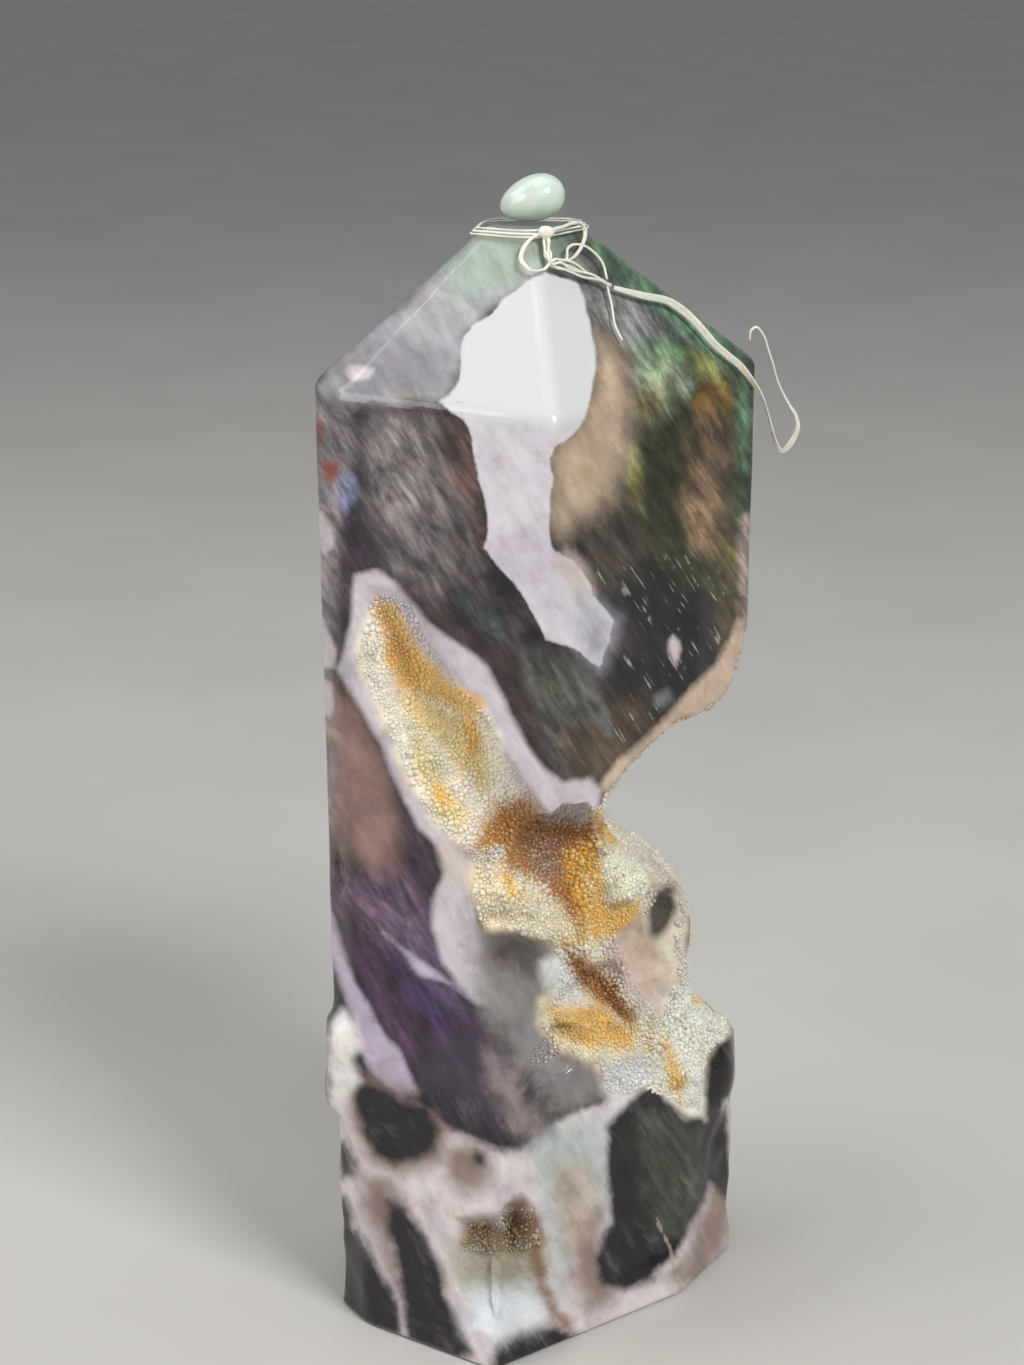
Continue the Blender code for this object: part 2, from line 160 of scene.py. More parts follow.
class Shader:
    # adds nodes to one material and joins them

    def __init__(self, name):
        self.material = bpy.data.materials.new(name)
        self.material.use_nodes = True
        self.nodes = self.material.node_tree.nodes
        self.links = self.material.node_tree.links
        self.surface = self.nodes["Principled BSDF"]

    def add(self, kind, **values):
        node = self.nodes.new(kind)
        for key, value in values.items():
            setattr(node, key, value)
        return node

    def join(self, source, target):
        if isinstance(source, (int, float, tuple)):
            target.default_value = source
        else:
            self.links.new(source, target)

    def math(self, operation, first, second=0.0, third=0.0):
        node = self.add("ShaderNodeMath", operation=operation)
        for socket, value in zip(node.inputs, (first, second, third)):
            self.join(value, socket)
        return node.outputs[0]

    def attribute(self, name):
        return self.add("ShaderNodeAttribute", attribute_name=name).outputs["Fac"]

    def step(self, value, low, high):
        # 0 below low, 1 above high, and smooth between them
        node = self.add("ShaderNodeMapRange", interpolation_type="SMOOTHSTEP")
        self.join(value, node.inputs["Value"])
        self.join(low, node.inputs["From Min"])
        self.join(high, node.inputs["From Max"])
        return node.outputs["Result"]

    def mix(self, factor, first, second):
        node = self.add("ShaderNodeMix", data_type="RGBA")
        self.join(factor, node.inputs[0])
        self.join(first, node.inputs[6])
        self.join(second, node.inputs[7])
        return node.outputs[2]

    def blend(self, kind, factor, first, second):
        mixed = self.mix(factor, first, second)
        mixed.node.blend_type = kind
        return mixed

    def grain(self, factor, colour, pattern):
        # darkens and lightens a colour with a pattern of lines or feathers
        return self.blend("OVERLAY", factor, colour, pattern)

    def place(self, scale=(1, 1, 1), turn=(0, 0, 0)):
        # object coordinates, turned in degrees and then divided by scale, so a large scale stretches
        where = self.add("ShaderNodeTexCoord").outputs["Object"]
        node = self.add("ShaderNodeMapping", vector_type="TEXTURE")
        self.links.new(where, node.inputs["Vector"])
        node.inputs["Rotation"].default_value = [math.radians(angle) for angle in turn]
        node.inputs["Scale"].default_value = scale
        return node.outputs["Vector"]

    def seen(self, stretch, turn):
        # coordinates laid over the faces as the camera sees them, stretched along a turned direction
        flat = self.add("ShaderNodeCombineXYZ")
        self.links.new(self.attribute("seenAcross"), flat.inputs["X"])
        self.links.new(self.attribute("seenDown"), flat.inputs["Y"])
        node = self.add("ShaderNodeMapping", vector_type="TEXTURE")
        self.links.new(flat.outputs["Vector"], node.inputs["Vector"])
        node.inputs["Rotation"].default_value = (0, 0, math.radians(turn))
        node.inputs["Scale"].default_value = (stretch[0], stretch[1], 1)
        return node.outputs["Vector"]

    def noise(self, size, detail=3.0, roughness=0.5, distortion=0.0, where=None):
        # noise from about 0.25 to 0.75, whose lumps are size millimetres wide
        node = self.add("ShaderNodeTexNoise")
        self.links.new(where or self.place(), node.inputs["Vector"])
        node.inputs["Scale"].default_value = 1 / (size * mm)
        node.inputs["Detail"].default_value = detail
        node.inputs["Roughness"].default_value = roughness
        node.inputs["Distortion"].default_value = distortion
        return node.outputs["Fac"]

    def bump(self, height, strength, distance, normal=None):
        node = self.add("ShaderNodeBump")
        self.links.new(height, node.inputs["Height"])
        node.inputs["Strength"].default_value = strength
        node.inputs["Distance"].default_value = distance * mm
        if normal:
            self.links.new(normal, node.inputs["Normal"])
        return node.outputs["Normal"]

    def set(self, **values):
        names = {"colour": "Base Color", "roughness": "Roughness", "ior": "IOR", "normal": "Normal",
                 "coat": "Coat Weight", "coatRoughness": "Coat Roughness", "clear": "Transmission Weight",
                 "glow": "Subsurface Weight", "spread": "Subsurface Radius",
                 "spreadScale": "Subsurface Scale", "sheen": "Sheen Weight", "gloss": "Specular IOR Level"}
        for key, value in values.items():
            self.join(value, self.surface.inputs[names[key]])
        return self.material


def addTube(name, places, radii, resolution, closed=False):
    # a round tube through places in mm, with a radius at each
    deselectAll()
    bpy.ops.curve.primitive_nurbs_path_add(location=(0, 0, 0))
    data = bpy.context.object.data
    data.splines.clear()
    spline = data.splines.new("POLY")
    spline.points.add(len(places) - 1)
    spline.use_cyclic_u = closed
    for knot, place, radius in zip(spline.points, places, radii):
        knot.co = (*(Vector(place) * mm), 1.0)
        knot.radius = radius
    data.bevel_depth = mm
    data.bevel_resolution = resolution
    data.use_fill_caps = not closed
    bpy.ops.object.convert(target="MESH")
    piece = named(bpy.context.object, name)
    edit(piece)
    bpy.ops.mesh.select_all(action="SELECT")
    bpy.ops.mesh.remove_doubles(threshold=0.005 * mm)
    bpy.ops.mesh.normals_make_consistent(inside=False)
    leaveEdit()
    return piece


def joined(name, pieces):
    # several objects made one
    deselectAll()
    for piece in pieces:
        piece.select_set(True)
    bpy.context.view_layer.objects.active = pieces[0]
    bpy.ops.object.join()
    return named(bpy.context.object, name)


def ribbonFinish():
    # cream satin: fine threads along the strip, whose lighter and darker threads paint the satin's sheen and
    # shade, a soft sheen, a little light through it
    shader = Shader("creamSatin")
    coordinates = shader.add("ShaderNodeUVMap", uv_map="along").outputs["UV"]
    weave = shader.add("ShaderNodeMapping", vector_type="POINT")
    shader.links.new(coordinates, weave.inputs["Vector"])
    weave.inputs["Scale"].default_value = satin["weave"]
    threads = shader.add("ShaderNodeTexNoise")
    shader.links.new(weave.outputs["Vector"], threads.inputs["Vector"])
    threads.inputs["Scale"].default_value = 1.0
    threads.inputs["Detail"].default_value = 3.0
    cloud = shader.noise(1.6, 3.0, 0.5)
    # painted sheen and shade: the threads run between the shaded and the lit cream, as light catching the
    # weave
    threadSheenShade = shader.step(threads.outputs["Fac"], 0.38, 0.62)
    colour = shader.mix(threadSheenShade, tint(*satin["shade"]), tint(*satin["light"]))
    cool = shader.math("MULTIPLY", shader.step(cloud, 0.52, 0.68), 0.4)
    colour = shader.mix(cool, colour, tint(*satin["cool"]))
    return shader.set(colour=colour, roughness=satin["roughness"], normal=shader.bump(threadSheenShade, 0.5, 0.03),
                      glow=satin["glow"], spread=(1.0, 0.95, 0.85), spreadScale=0.4 * mm,
                      sheen=satin["sheen"], gloss=satin["gloss"])


satin = {
    # the lit and the shaded cream of the threads, painted sheen and shade
    "light": (246, 242, 228),
    "shade": (214, 208, 190),
    "cool": (206, 220, 214),
    "weave": (14.0, 0.5, 1.0),        # threads across the ribbon, and their unevenness along it per mm
    "roughness": 0.34,
    "sheen": 0.35,
    "glow": 0.3,
    "gloss": 0.6,
}

# Ribbon: the free end, over the right facet, past the shoulder and hooked back

tail = {
    "route": [(7.75, -2.95, 128.1), (11.0, -0.8, 126.9), (13.9, 1.8, 125.9), (15.6, 2.9, 124.8),
              (16.9, 3.2, 123.7), (18.3, 3.3, 122.2), (19.8, 3.3, 120.5), (21.4, 3.7, 119.1),
              (22.9, 4.2, 117.8), (24.4, 4.9, 115.9), (25.6, 5.3, 114.0), (26.3, 5.5, 112.2),
              (26.9, 5.5, 110.3), (27.4, 5.5, 108.6), (28.1, 5.3, 107.4), (29.1, 5.1, 108.3),
              (29.9, 4.9, 110.1), (29.7, 4.7, 111.7), (28.8, 4.6, 113.2), (27.9, 4.6, 114.8),
              (27.3, 4.6, 116.2), (26.8, 4.6, 117.9), (26.2, 4.6, 119.6), (25.7, 4.6, 121.1),
              (24.8, 4.5, 122.3), (24.0, 4.3, 121.9), (23.9, 4.2, 120.8)],
    "width": 0.85,
    "thickness": 0.14,
    "steps": 4,
    # at points of the route: how wide the strip is seen, as a share of its width
    "widths": [(0, 0.6), (1, 0.95), (3, 1.15), (9, 1.0), (12, 0.72), (14, 0.8), (15, 0.9), (17, 0.55),
               (24, 0.5), (26, 0.45)],
    # at points of the route: how far the flat side turns from facing the front, in degrees
    "turns": [(0, -20), (4, 0), (8, 10), (10, 60), (12, 75), (14, 20), (15, 5), (17, 30), (18, 65),
              (21, 80), (24, 70), (26, 60)],
}


def stripMesh(name, centres, sides, faces, widths, thickness):
    # a flat strip with rounded edges along centres; sides and faces are unit vectors across and out of it
    rim = thickness / 2
    profile = [(-0.5, 0), (-0.43, -rim), (-0.2, -rim * 0.7), (0, -rim * 1.1), (0.2, -rim * 0.7),
                (0.43, -rim), (0.5, 0), (0.43, rim), (0.2, rim * 1.1), (0, rim * 0.7), (-0.2, rim * 1.1),
                (-0.43, rim)]
    work = bmesh.new()
    along = work.loops.layers.uv.new("along")
    rings = []
    for centre, side, face, width in zip(centres, sides, faces, widths):
        rings.append([work.verts.new(Vector(centre + side * a * width + face * b) * mm) for a, b in profile])
    length = 0.0
    for index in range(len(rings) - 1):
        step = float(np.linalg.norm(centres[index + 1] - centres[index]))
        for k in range(len(profile)):
            after = (k + 1) % len(profile)
            made = work.faces.new((rings[index][k], rings[index][after], rings[index + 1][after],
                                   rings[index + 1][k]))
            corners = ((profile[k][0], length), (profile[after][0], length),
                       (profile[after][0], length + step), (profile[k][0], length + step))
            for loop, (u, v) in zip(made.loops, corners):
                loop[along].uv = (u, v)
        length += step
    work.faces.new(rings[0])
    work.faces.new(list(reversed(rings[-1])))
    bmesh.ops.recalc_face_normals(work, faces=work.faces)
    mesh = bpy.data.meshes.new(name)
    work.to_mesh(mesh)
    work.free()
    piece = bpy.data.objects.new(name, mesh)
    bpy.context.scene.collection.objects.link(piece)
    mesh.shade_smooth()
    return piece, length


def frameAlong(centres, turns):
    # a side and a face vector at each centre; a turn of 0 has the flat side towards the front
    sides, faces = [], []
    for index, turn in enumerate(turns):
        ahead = centres[min(index + 1, len(centres) - 1)] - centres[max(index - 1, 0)]
        ahead = Vector(ahead).normalized()
        face = Vector((0, -1, 0))
        face = (face - ahead * face.dot(ahead)).normalized()
        face = Matrix.Rotation(math.radians(turn), 3, ahead) @ face
        faces.append(np.array(face))
        sides.append(np.array(ahead.cross(face)))
    return sides, faces


def makeRibbonTail(material):
    centres = smoothRoute(tail["route"], tail["steps"])
    marks = [at * tail["steps"] for at, turn in tail["turns"]]
    turns = np.interp(range(len(centres)), marks, [turn for at, turn in tail["turns"]])
    sides, faces = frameAlong(centres, turns)
    marks = [at * tail["steps"] for at, share in tail["widths"]]
    shares = [share for at, share in tail["widths"]]
    widths = np.interp(range(len(centres)), marks, shares) * tail["width"]
    piece, length = stripMesh("ribbonTail", centres, sides, faces, widths, tail["thickness"])
    piece.data.materials.append(material)
    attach(piece, "root")
    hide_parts("ribbon_tail")
    report("ribbon tail, %.1f mm long" % length)


# Stone: its outline in mm, seen from above and anticlockwise from the left rear edge

stone = {
    "base": [(-25.3, -7), (-22, -12), (-6, -22.5), (18, -5), (25, 6), (22, 18), (3, 23), (-19, 18)],
    "shoulder": [(-26, -7.5), (-23, -13), (1, -21.4), (18.3, -1.2), (25.3, 9), (22, 19), (3, 23),
                  (-20, 18)],
    "shoulderHeight": 117.5,
    "shoulderLift": [0.8, 0.6, -0.8, -0.8, 0, 0.5, 0, 0.5],
    "tipHeight": 134.8,
    "tipScale": 0.2,
    "tipCentre": (-1.6, -0.5),
    "levels": 12,
    "edgeBevel": 0.8,
    "edgeAngle": 14,
    "crustInset": 1.35,       # how far the crystal bed stands in from the cut hollows
    "notchInset": -0.25,
    "frontGrain": 0.62,       # longest edge of the finished mesh on the front
    "backGrain": 1.25,
    "baseGrain": 6.0,
    "grainSlack": 1.35,
    "waveHeight": 0.07,
    "waveSize": 7.5,
    "roughBelow": 48,         # the faces are less even below this height
    "roughFade": 20,
    "lowWaveHeight": 0.42,
    "rimAngle": 28,
    "rimTurns": 5,
    "smoothFrom": 0.8,
    "smoothTurns": 8,
    "lumpReach": 1.5,
    "lumpHeight": 0.55,       # of a lump's smallest radius
    "rawEdge": 1.8,
    "rawHeight": 0.95,
    "rawSize": 3.6,
    "gritHeight": 0.16,
    "gritSize": 1.1,
    "bedHeight": 0.5,
}

hollows = {
    "trough": [(-20.6, -16.4, 97.6, 3.6), (-18.2, -17.2, 92.2, 5.4), (-14.8, -18.8, 85.4, 6.2),
               (-10.4, -20.8, 78.2, 6.5), (-5.4, -22.6, 71.6, 6.5), (0.0, -21.8, 64.6, 6.0)],
    "balls": {"middle": ((2.4, -17.5, 65.0), (7.8, 9.0, 7.6), 3),      # centre, radii, seed
              "scoop": ((20.5, -3.6, 34.8), (6.4, 6.8, 7.0), 4),
              "lowerRight": ((7.4, -13.6, 45.2), (6.6, 6.4, 5.0), 6),
              "lowerLeft": ((3.4, -17.4, 40.2), (7.0, 5.2, 4.4), 7),
              "foot": ((-3.6, -23.0, 17.2), (4.4, 5.8, 6.8), 9)},
    "notch": [(6.6, 67.4), (7.2, 62.0), (9.4, 59.0), (12.7, 57.6), (15.4, 55.2), (17.4, 53.2), (18.2, 50.6),
              (18.0, 47.0), (17.8, 43.6), (18.5, 40.0), (18.4, 36.4), (21.0, 35.4), (24.0, 33.9),
              (27.0, 32.6), (32.0, 38.0), (34.0, 56.0), (33.0, 74.0), (29.0, 88.0), (24.9, 85.6),
              (23.6, 81.2), (21.8, 78.0), (19.2, 76.6), (16.2, 76.0), (12.8, 73.6), (9.8, 70.8)],
    "notchFall": 12,
    "notchReach": 34,
    "notchSteps": 60,
}

# lumps that stand proud of the faces and pits in them: centre, radii, seed
lumps = [((-22.6, -8.4, 38.0), (3.2, 4.2, 4.6), 20), ((-22.8, -8.0, 31.0), (3.0, 4.0, 4.0), 21),
         ((-20.6, -10.4, 25.0), (3.4, 3.6, 4.4), 22), ((21.8, 3.0, 26.6), (3.8, 4.4, 6.0), 23),
         ((13.2, -5.2, 5.2), (6.0, 5.2, 2.0), 24), ((-14.0, -14.6, 4.4), (5.2, 4.2, 1.6), 25)]
pits = [((-23.6, -13.4, 83.0), (1.6, 2.0, 3.4), 40), ((-24.6, -10.4, 60.0), (1.2, 1.6, 4.2), 41),
        ((-25.0, -11.0, 34.8), (1.5, 1.7, 1.2), 42), ((-11.0, -21.6, 50.5), (2.2, 1.4, 3.0), 43),
        ((10.4, -13.2, 19.0), (2.0, 1.5, 4.4), 44), ((24.0, 2.4, 21.0), (1.6, 1.6, 2.6), 45),
        ((-22.6, 10.0, 47.0), (3.0, 4.4, 8.0), 46), ((10.0, 22.0, 88.0), (5.6, 2.8, 9.0), 47),
        ((-8.0, 21.4, 24.0), (4.4, 2.8, 6.2), 48)]


def rough(place, size, seed):
    # smooth noise from -1 to 1 in two octaves; place in mm, size the width of its lumps
    where = Vector(place) / size + Vector((seed * 7.3, seed * 3.1, seed * 5.7))
    return noise.noise(where) + 0.45 * noise.noise(where * 2.3)


def stoneRing(level):
    ring = []
    for low, high, lift in zip(stone["base"], stone["shoulder"], stone["shoulderLift"]):
        x = low[0] + (high[0] - low[0]) * level
        y = low[1] + (high[1] - low[1]) * level
        ring.append((x, y, (stone["shoulderHeight"] + lift) * level))
    return ring


def tipRing():
    centre = stone["tipCentre"]
    scale = stone["tipScale"]
    return [(centre[0] + x * scale, centre[1] + y * scale, stone["tipHeight"]) for x, y in stone["shoulder"]]


def raiseRing(piece, ring):
    # extrudes the selected top face and puts its corners on the next ring, corner by corner
    bpy.ops.object.mode_set(mode="EDIT")
    bpy.ops.mesh.extrude_region_move(TRANSFORM_OT_translate={"value": (0, 0, mm)})
    bpy.ops.object.mode_set(mode="OBJECT")
    top = [vertex for vertex in piece.data.vertices if vertex.select]
    for vertex, corner in zip(top, ring):
        vertex.co = Vector(corner) * mm


def makeEnvelope(name):
    deselectAll()
    bpy.ops.mesh.primitive_circle_add(vertices=8, radius=20 * mm, fill_type="NGON", location=(0, 0, 0))
    piece = named(bpy.context.object, name)
    for vertex, corner in zip(piece.data.vertices, stoneRing(0)):
        vertex.co = Vector(corner) * mm
    for level in range(1, stone["levels"] + 1):
        raiseRing(piece, stoneRing(level / stone["levels"]))
    raiseRing(piece, tipRing())
    edit(piece)
    bpy.ops.mesh.select_all(action="SELECT")
    bpy.ops.mesh.normals_make_consistent(inside=False)
    leaveEdit()
    return piece


def softenEdges(piece):
    # bevels the edges between the ground faces
    work = bmesh.new()
    work.from_mesh(piece.data)
    limit = math.radians(stone["edgeAngle"])
    sharp = [edge.index for edge in work.edges if edge.calc_face_angle(0) > limit]
    work.free()
    flags = np.zeros(len(piece.data.edges), bool)
    flags[sharp] = True
    selectEdges(piece, flags)
    bpy.ops.mesh.bevel(offset=stone["edgeBevel"] * mm, segments=3, profile=0.5)
    leaveEdit()


def selectEdges(piece, flags):
    # leaves the piece in edit mode with these edges selected
    edit(piece)
    bpy.ops.mesh.select_mode(type="EDGE")
    bpy.ops.mesh.select_all(action="DESELECT")
    leaveEdit()
    piece.data.edges.foreach_set("select", flags)
    bpy.ops.object.mode_set(mode="EDIT")


def selectFaces(piece, test):
    # leaves the piece in edit mode with the faces that pass the test selected
    edit(piece)
    bpy.ops.mesh.select_mode(type="FACE")
    bpy.ops.mesh.select_all(action="DESELECT")
    leaveEdit()
    for face in piece.data.polygons:
        face.select = test(face)
    bpy.ops.object.mode_set(mode="EDIT")


def lumpy(piece, seed, inset=0.0, height=0.55, size=5.0):
    # lumps over a closed form, and draws it in
    mesh = piece.data
    places = positions(mesh)
    lift = np.array([rough(place, size, seed) * height - inset for place in places])
    setPositions(mesh, places + normalsOf(mesh) * lift[:, None])
    return piece


def addBall(name, centre, radii, seed, detail, **finish):
    deselectAll()
    bpy.ops.mesh.primitive_ico_sphere_add(subdivisions=detail, radius=mm, location=Vector(centre) * mm)
    ball = named(bpy.context.object, name)
    ball.scale = radii
    bpy.ops.object.transform_apply(location=True, rotation=True, scale=True)
    return lumpy(ball, seed, **finish)


def addTrough(name, **finish):
    # a tube whose radius changes along the route
    route = smoothRoute(hollows["trough"], 10)
    piece = addTube(name, [knot[:3] for knot in route], [knot[3] for knot in route], 14)
    edit(piece)
    bpy.ops.mesh.select_all(action="SELECT")
    bpy.ops.mesh.quads_convert_to_tris()
    leaveEdit()
    return lumpy(piece, 2, **finish)


def addNotch(name, **finish):
    # the side notch: its outline in X and Z drawn out along Y, falling to the back
    fall = math.tan(math.radians(hollows["notchFall"]))
    outline = []
    for index, start in enumerate(hollows["notch"]):
        end = hollows["notch"][(index + 1) % len(hollows["notch"])]
        cuts = max(1, round(math.dist(start, end) / 1.2))
        for cut in range(cuts):
            share = cut / cuts
            outline.append((start[0] + (end[0] - start[0]) * share, start[1] + (end[1] - start[1]) * share))
    reach = hollows["notchReach"]
    steps = hollows["notchSteps"]
    deselectAll()
    bpy.ops.mesh.primitive_circle_add(vertices=len(outline), radius=20 * mm, fill_type="NGON",
                                      location=(0, 0, 0))
    piece = named(bpy.context.object, name)
    for vertex, (x, z) in zip(piece.data.vertices, outline):
        vertex.co = Vector((x, -reach, z + reach * fall)) * mm
    for step in range(1, steps + 1):
        y = -reach + 2 * reach * step / steps
        raiseRing(piece, [(x, y, z - y * fall) for x, z in outline])
    edit(piece)
    bpy.ops.mesh.select_all(action="SELECT")
    bpy.ops.mesh.normals_make_consistent(inside=False)
    leaveEdit()
    return lumpy(piece, 5, **finish)


def combine(piece, other, operation):
    # joins or cuts, and removes the other object
    activate(piece)
    modifier = piece.modifiers.new(operation, "BOOLEAN")
    modifier.operation = operation
    modifier.solver = "MANIFOLD"
    modifier.object = other
    bpy.ops.object.modifier_apply(modifier=modifier.name)
    bpy.data.objects.remove(other, do_unlink=True)


def keepLargest(piece):
    # drops the crumbs that a cut leaves loose
    work = bmesh.new()
    work.from_mesh(piece.data)
    bmesh.ops.remove_doubles(work, verts=work.verts, dist=0.004 * mm)
    bmesh.ops.dissolve_degenerate(work, edges=work.edges, dist=0.004 * mm)
    seen, bodies = set(), []
    for start in work.verts:
        if start in seen:
            continue
        body, front = [start], [start]
        seen.add(start)
        while front:
            for edge in front.pop().link_edges:
                for vertex in edge.verts:
                    if vertex not in seen:
                        seen.add(vertex)
                        body.append(vertex)
                        front.append(vertex)
        bodies.append(body)
    largest = max(bodies, key=len)
    loose = [vertex for body in bodies if body is not largest for vertex in body]
    bmesh.ops.delete(work, geom=loose, context="VERTS")
    work.to_mesh(piece.data)
    work.free()


def refine(piece):
    # splits long edges until the faces carry enough points for their markings
    for turn in range(12):
        mesh = piece.data
        places = positions(mesh)
        ends = np.empty(len(mesh.edges) * 2, int)
        mesh.edges.foreach_get("vertices", ends)
        ends = ends.reshape(-1, 2)
        middle = (places[ends[:, 0]] + places[ends[:, 1]]) / 2
        length = np.linalg.norm(places[ends[:, 0]] - places[ends[:, 1]], axis=1)
        limit = np.where(frontness(middle) > -2, stone["frontGrain"], stone["backGrain"])
        limit = np.where(middle[:, 2] < 0.05, stone["baseGrain"], limit)
        long = length > limit * stone["grainSlack"]
        if not long.any():
            break
        selectEdges(piece, long)
        bpy.ops.mesh.subdivide(number_cuts=1)
        bpy.ops.mesh.select_all(action="SELECT")
        bpy.ops.mesh.quads_convert_to_tris(quad_method="SHORTEST_DIAGONAL", ngon_method="BEAUTY")
        leaveEdit()
    report("stone mesh refined to %d faces in %d turns" % (len(piece.data.polygons), turn))


def frontness(places):
    # how far points lie on the camera's side of a line through the stone's left and right edges, in mm
    left, right = np.array(stone["shoulder"][0]), np.array(stone["shoulder"][4])
    along = (right - left) / np.linalg.norm(right - left)
    return (places[:, 0] - left[0]) * along[1] - (places[:, 1] - left[1]) * along[0]


def lowShare(places):
    # 0 on the even upper faces, rising to 1 towards the foot
    return np.clip((stone["roughBelow"] - places[:, 2]) / stone["roughFade"], 0, 1)


def signedDepth(places, envelope):
    # how deep each place lies under the ground faces, in mm, negative outside them, and the way out
    found, outward = [], []
    for place in places:
        near, normal = envelope.find_nearest(Vector(place) * mm)[:2]
        found.append(-(Vector(place) * mm - near).dot(normal) / mm)
        outward.append(normal[:])
    return np.array(found), np.array(outward)


def softenRims(piece):
    # rounds the edges that the cuts leave
    work = bmesh.new()
    work.from_mesh(piece.data)
    limit = math.radians(stone["rimAngle"])
    near = set()
    for edge in work.edges:
        if edge.calc_face_angle(0) > limit and edge.verts[0].co.z > 0.4 * mm:
            near.update(edge.verts)
    for turn in range(2):
        near.update([edge.other_vert(vertex) for vertex in list(near) for edge in vertex.link_edges])
    flags = np.zeros(len(piece.data.vertices), bool)
    flags[[vertex.index for vertex in near if vertex.co.z > 0.4 * mm]] = True
    work.free()
    smoothPlaces(piece, flags, stone["rimTurns"])


def smoothPlaces(piece, flags, turns):
    # evens out the flagged vertices
    edit(piece)
    bpy.ops.mesh.select_mode(type="VERT")
    bpy.ops.mesh.select_all(action="DESELECT")
    leaveEdit()
    piece.data.vertices.foreach_set("select", flags)
    bpy.ops.object.mode_set(mode="EDIT")
    bpy.ops.mesh.vertices_smooth(factor=0.5, repeat=turns)
    leaveEdit()


def carveRelief(piece, envelope):
    # lumps on the faces, lumpy raw ground between the hollows, and an uneven crystal bed
    mesh = piece.data
    places = positions(mesh)
    normals = normalsOf(mesh)
    depth, outward = signedDepth(places, envelope)
    waves = np.array([rough(place, stone["waveSize"], 52) for place in places])
    low = lowShare(places)
    lift = waves * (stone["waveHeight"] + low * stone["lowWaveHeight"]) - low * stone["lowWaveHeight"] * 0.6
    lift *= np.clip(places[:, 2] / 4, 0, 1)
    for centre, radii, seed in lumps:
        reach = np.linalg.norm((places - np.array(centre)) / np.array(radii), axis=1)
        share = eased(np.clip((stone["lumpReach"] - reach) / stone["lumpReach"], 0, 1))
        lift += share * stone["lumpHeight"] * min(radii) * (depth < 1)
    ground = np.array([rough(place, stone["rawSize"], 50) for place in places])
    grit = np.array([rough(place, stone["gritSize"], 51) for place in places])
    rawness = np.zeros(len(places))
    sunken = np.zeros(len(places))
    for sink, edge, outline in relief.values():
        share = eased(np.clip(groundDistance(places, [outline]) / edge, 0, 1))
        sunken += share * sink * np.clip(1.4 - depth / 3, 0, 1)
    for outline in crystalGround:
        share = np.clip(groundDistance(places, [outline]) / stone["rawEdge"], 0, 1)
        rawness = np.maximum(rawness, eased(share))
    rawLift = ground * stone["rawHeight"] + grit * stone["gritHeight"]
    lift += rawness * rawLift * np.clip(1.6 - depth, 0, 1)
    inBed = np.clip((depth - 0.6) / 1.5, 0, 1)
    lift += inBed * (ground * stone["bedHeight"] + grit * stone["gritHeight"])
    lift[places[:, 2] < 0.5] = 0
    sunken[places[:, 2] < 0.5] = 0
    setPositions(mesh, places + normals * lift[:, None] - outward * sunken[:, None])
    sunk = (depth > stone["smoothFrom"]) | (sunken > stone["smoothFrom"])
    smoothPlaces(piece, sunk & (places[:, 2] > 1), stone["smoothTurns"])


def groundDistance(places, outlines):
    # how far inside the outlines on the front each place lies, in mm
    pixels = photoPixels(places)
    plan = markingPlan
    best = np.full(len(places), plan["farOutside"])
    for outline in outlines:
        best = np.maximum(best, outlineDistance(pixels, outline) / plan["pixelsPerMm"])
    share = np.clip((frontness(places) - plan["rawFrom"]) / (plan["rawTo"] - plan["rawFrom"]), 0, 1)
    return best * share + plan["farOutside"] * (1 - share)


def buildStone():
    piece = makeEnvelope("towerStone")
    softenEdges(piece)
    envelope = BVHTree.FromObject(piece, bpy.context.evaluated_depsgraph_get())
    inset = stone["crustInset"]
    cutters = [addNotch("notch", inset=stone["notchInset"]), addTrough("trough", inset=inset)]
    for name, (centre, radii, seed) in hollows["balls"].items():
        cutters.append(addBall(name, centre, radii, seed, 5, inset=inset))
    for cutter in cutters:
        combine(piece, cutter, "DIFFERENCE")
    for centre, radii, seed in pits:
        combine(piece, addBall("pit", centre, radii, seed, 4, height=0.4, size=3.0), "DIFFERENCE")
    keepLargest(piece)
    report("stone cut, %d faces" % len(piece.data.polygons))
    refine(piece)
    softenRims(piece)
    carveRelief(piece, envelope)
    return piece, envelope


# Crystal ground: where crystals grow on the front, besides the hollows, in the photograph's pixels
crystalGround = [
    [(472, 852), (500, 800), (530, 790), (560, 815), (605, 800), (616, 822), (650, 830), (690, 860),
     (694, 905), (686, 940), (692, 985), (726, 1003), (732, 1035), (708, 1062), (704, 1115), (676, 1106),
     (640, 1092), (612, 1100), (590, 1085), (560, 1062), (538, 1040), (536, 1000), (546, 962), (520, 936),
     (482, 930), (468, 900)],
    [(374, 604), (386, 596), (398, 604), (412, 626), (428, 652), (448, 676), (478, 698), (494, 715),
     (503, 737), (511, 767), (528, 797), (500, 830), (474, 866), (455, 852), (431, 822), (406, 782),
     (386, 736), (366, 690), (352, 658), (360, 628)],
    [(462, 1222), (500, 1214), (522, 1204), (537, 1206), (546, 1240), (554, 1282), (550, 1312), (524, 1296),
     (488, 1268), (458, 1250)],
]

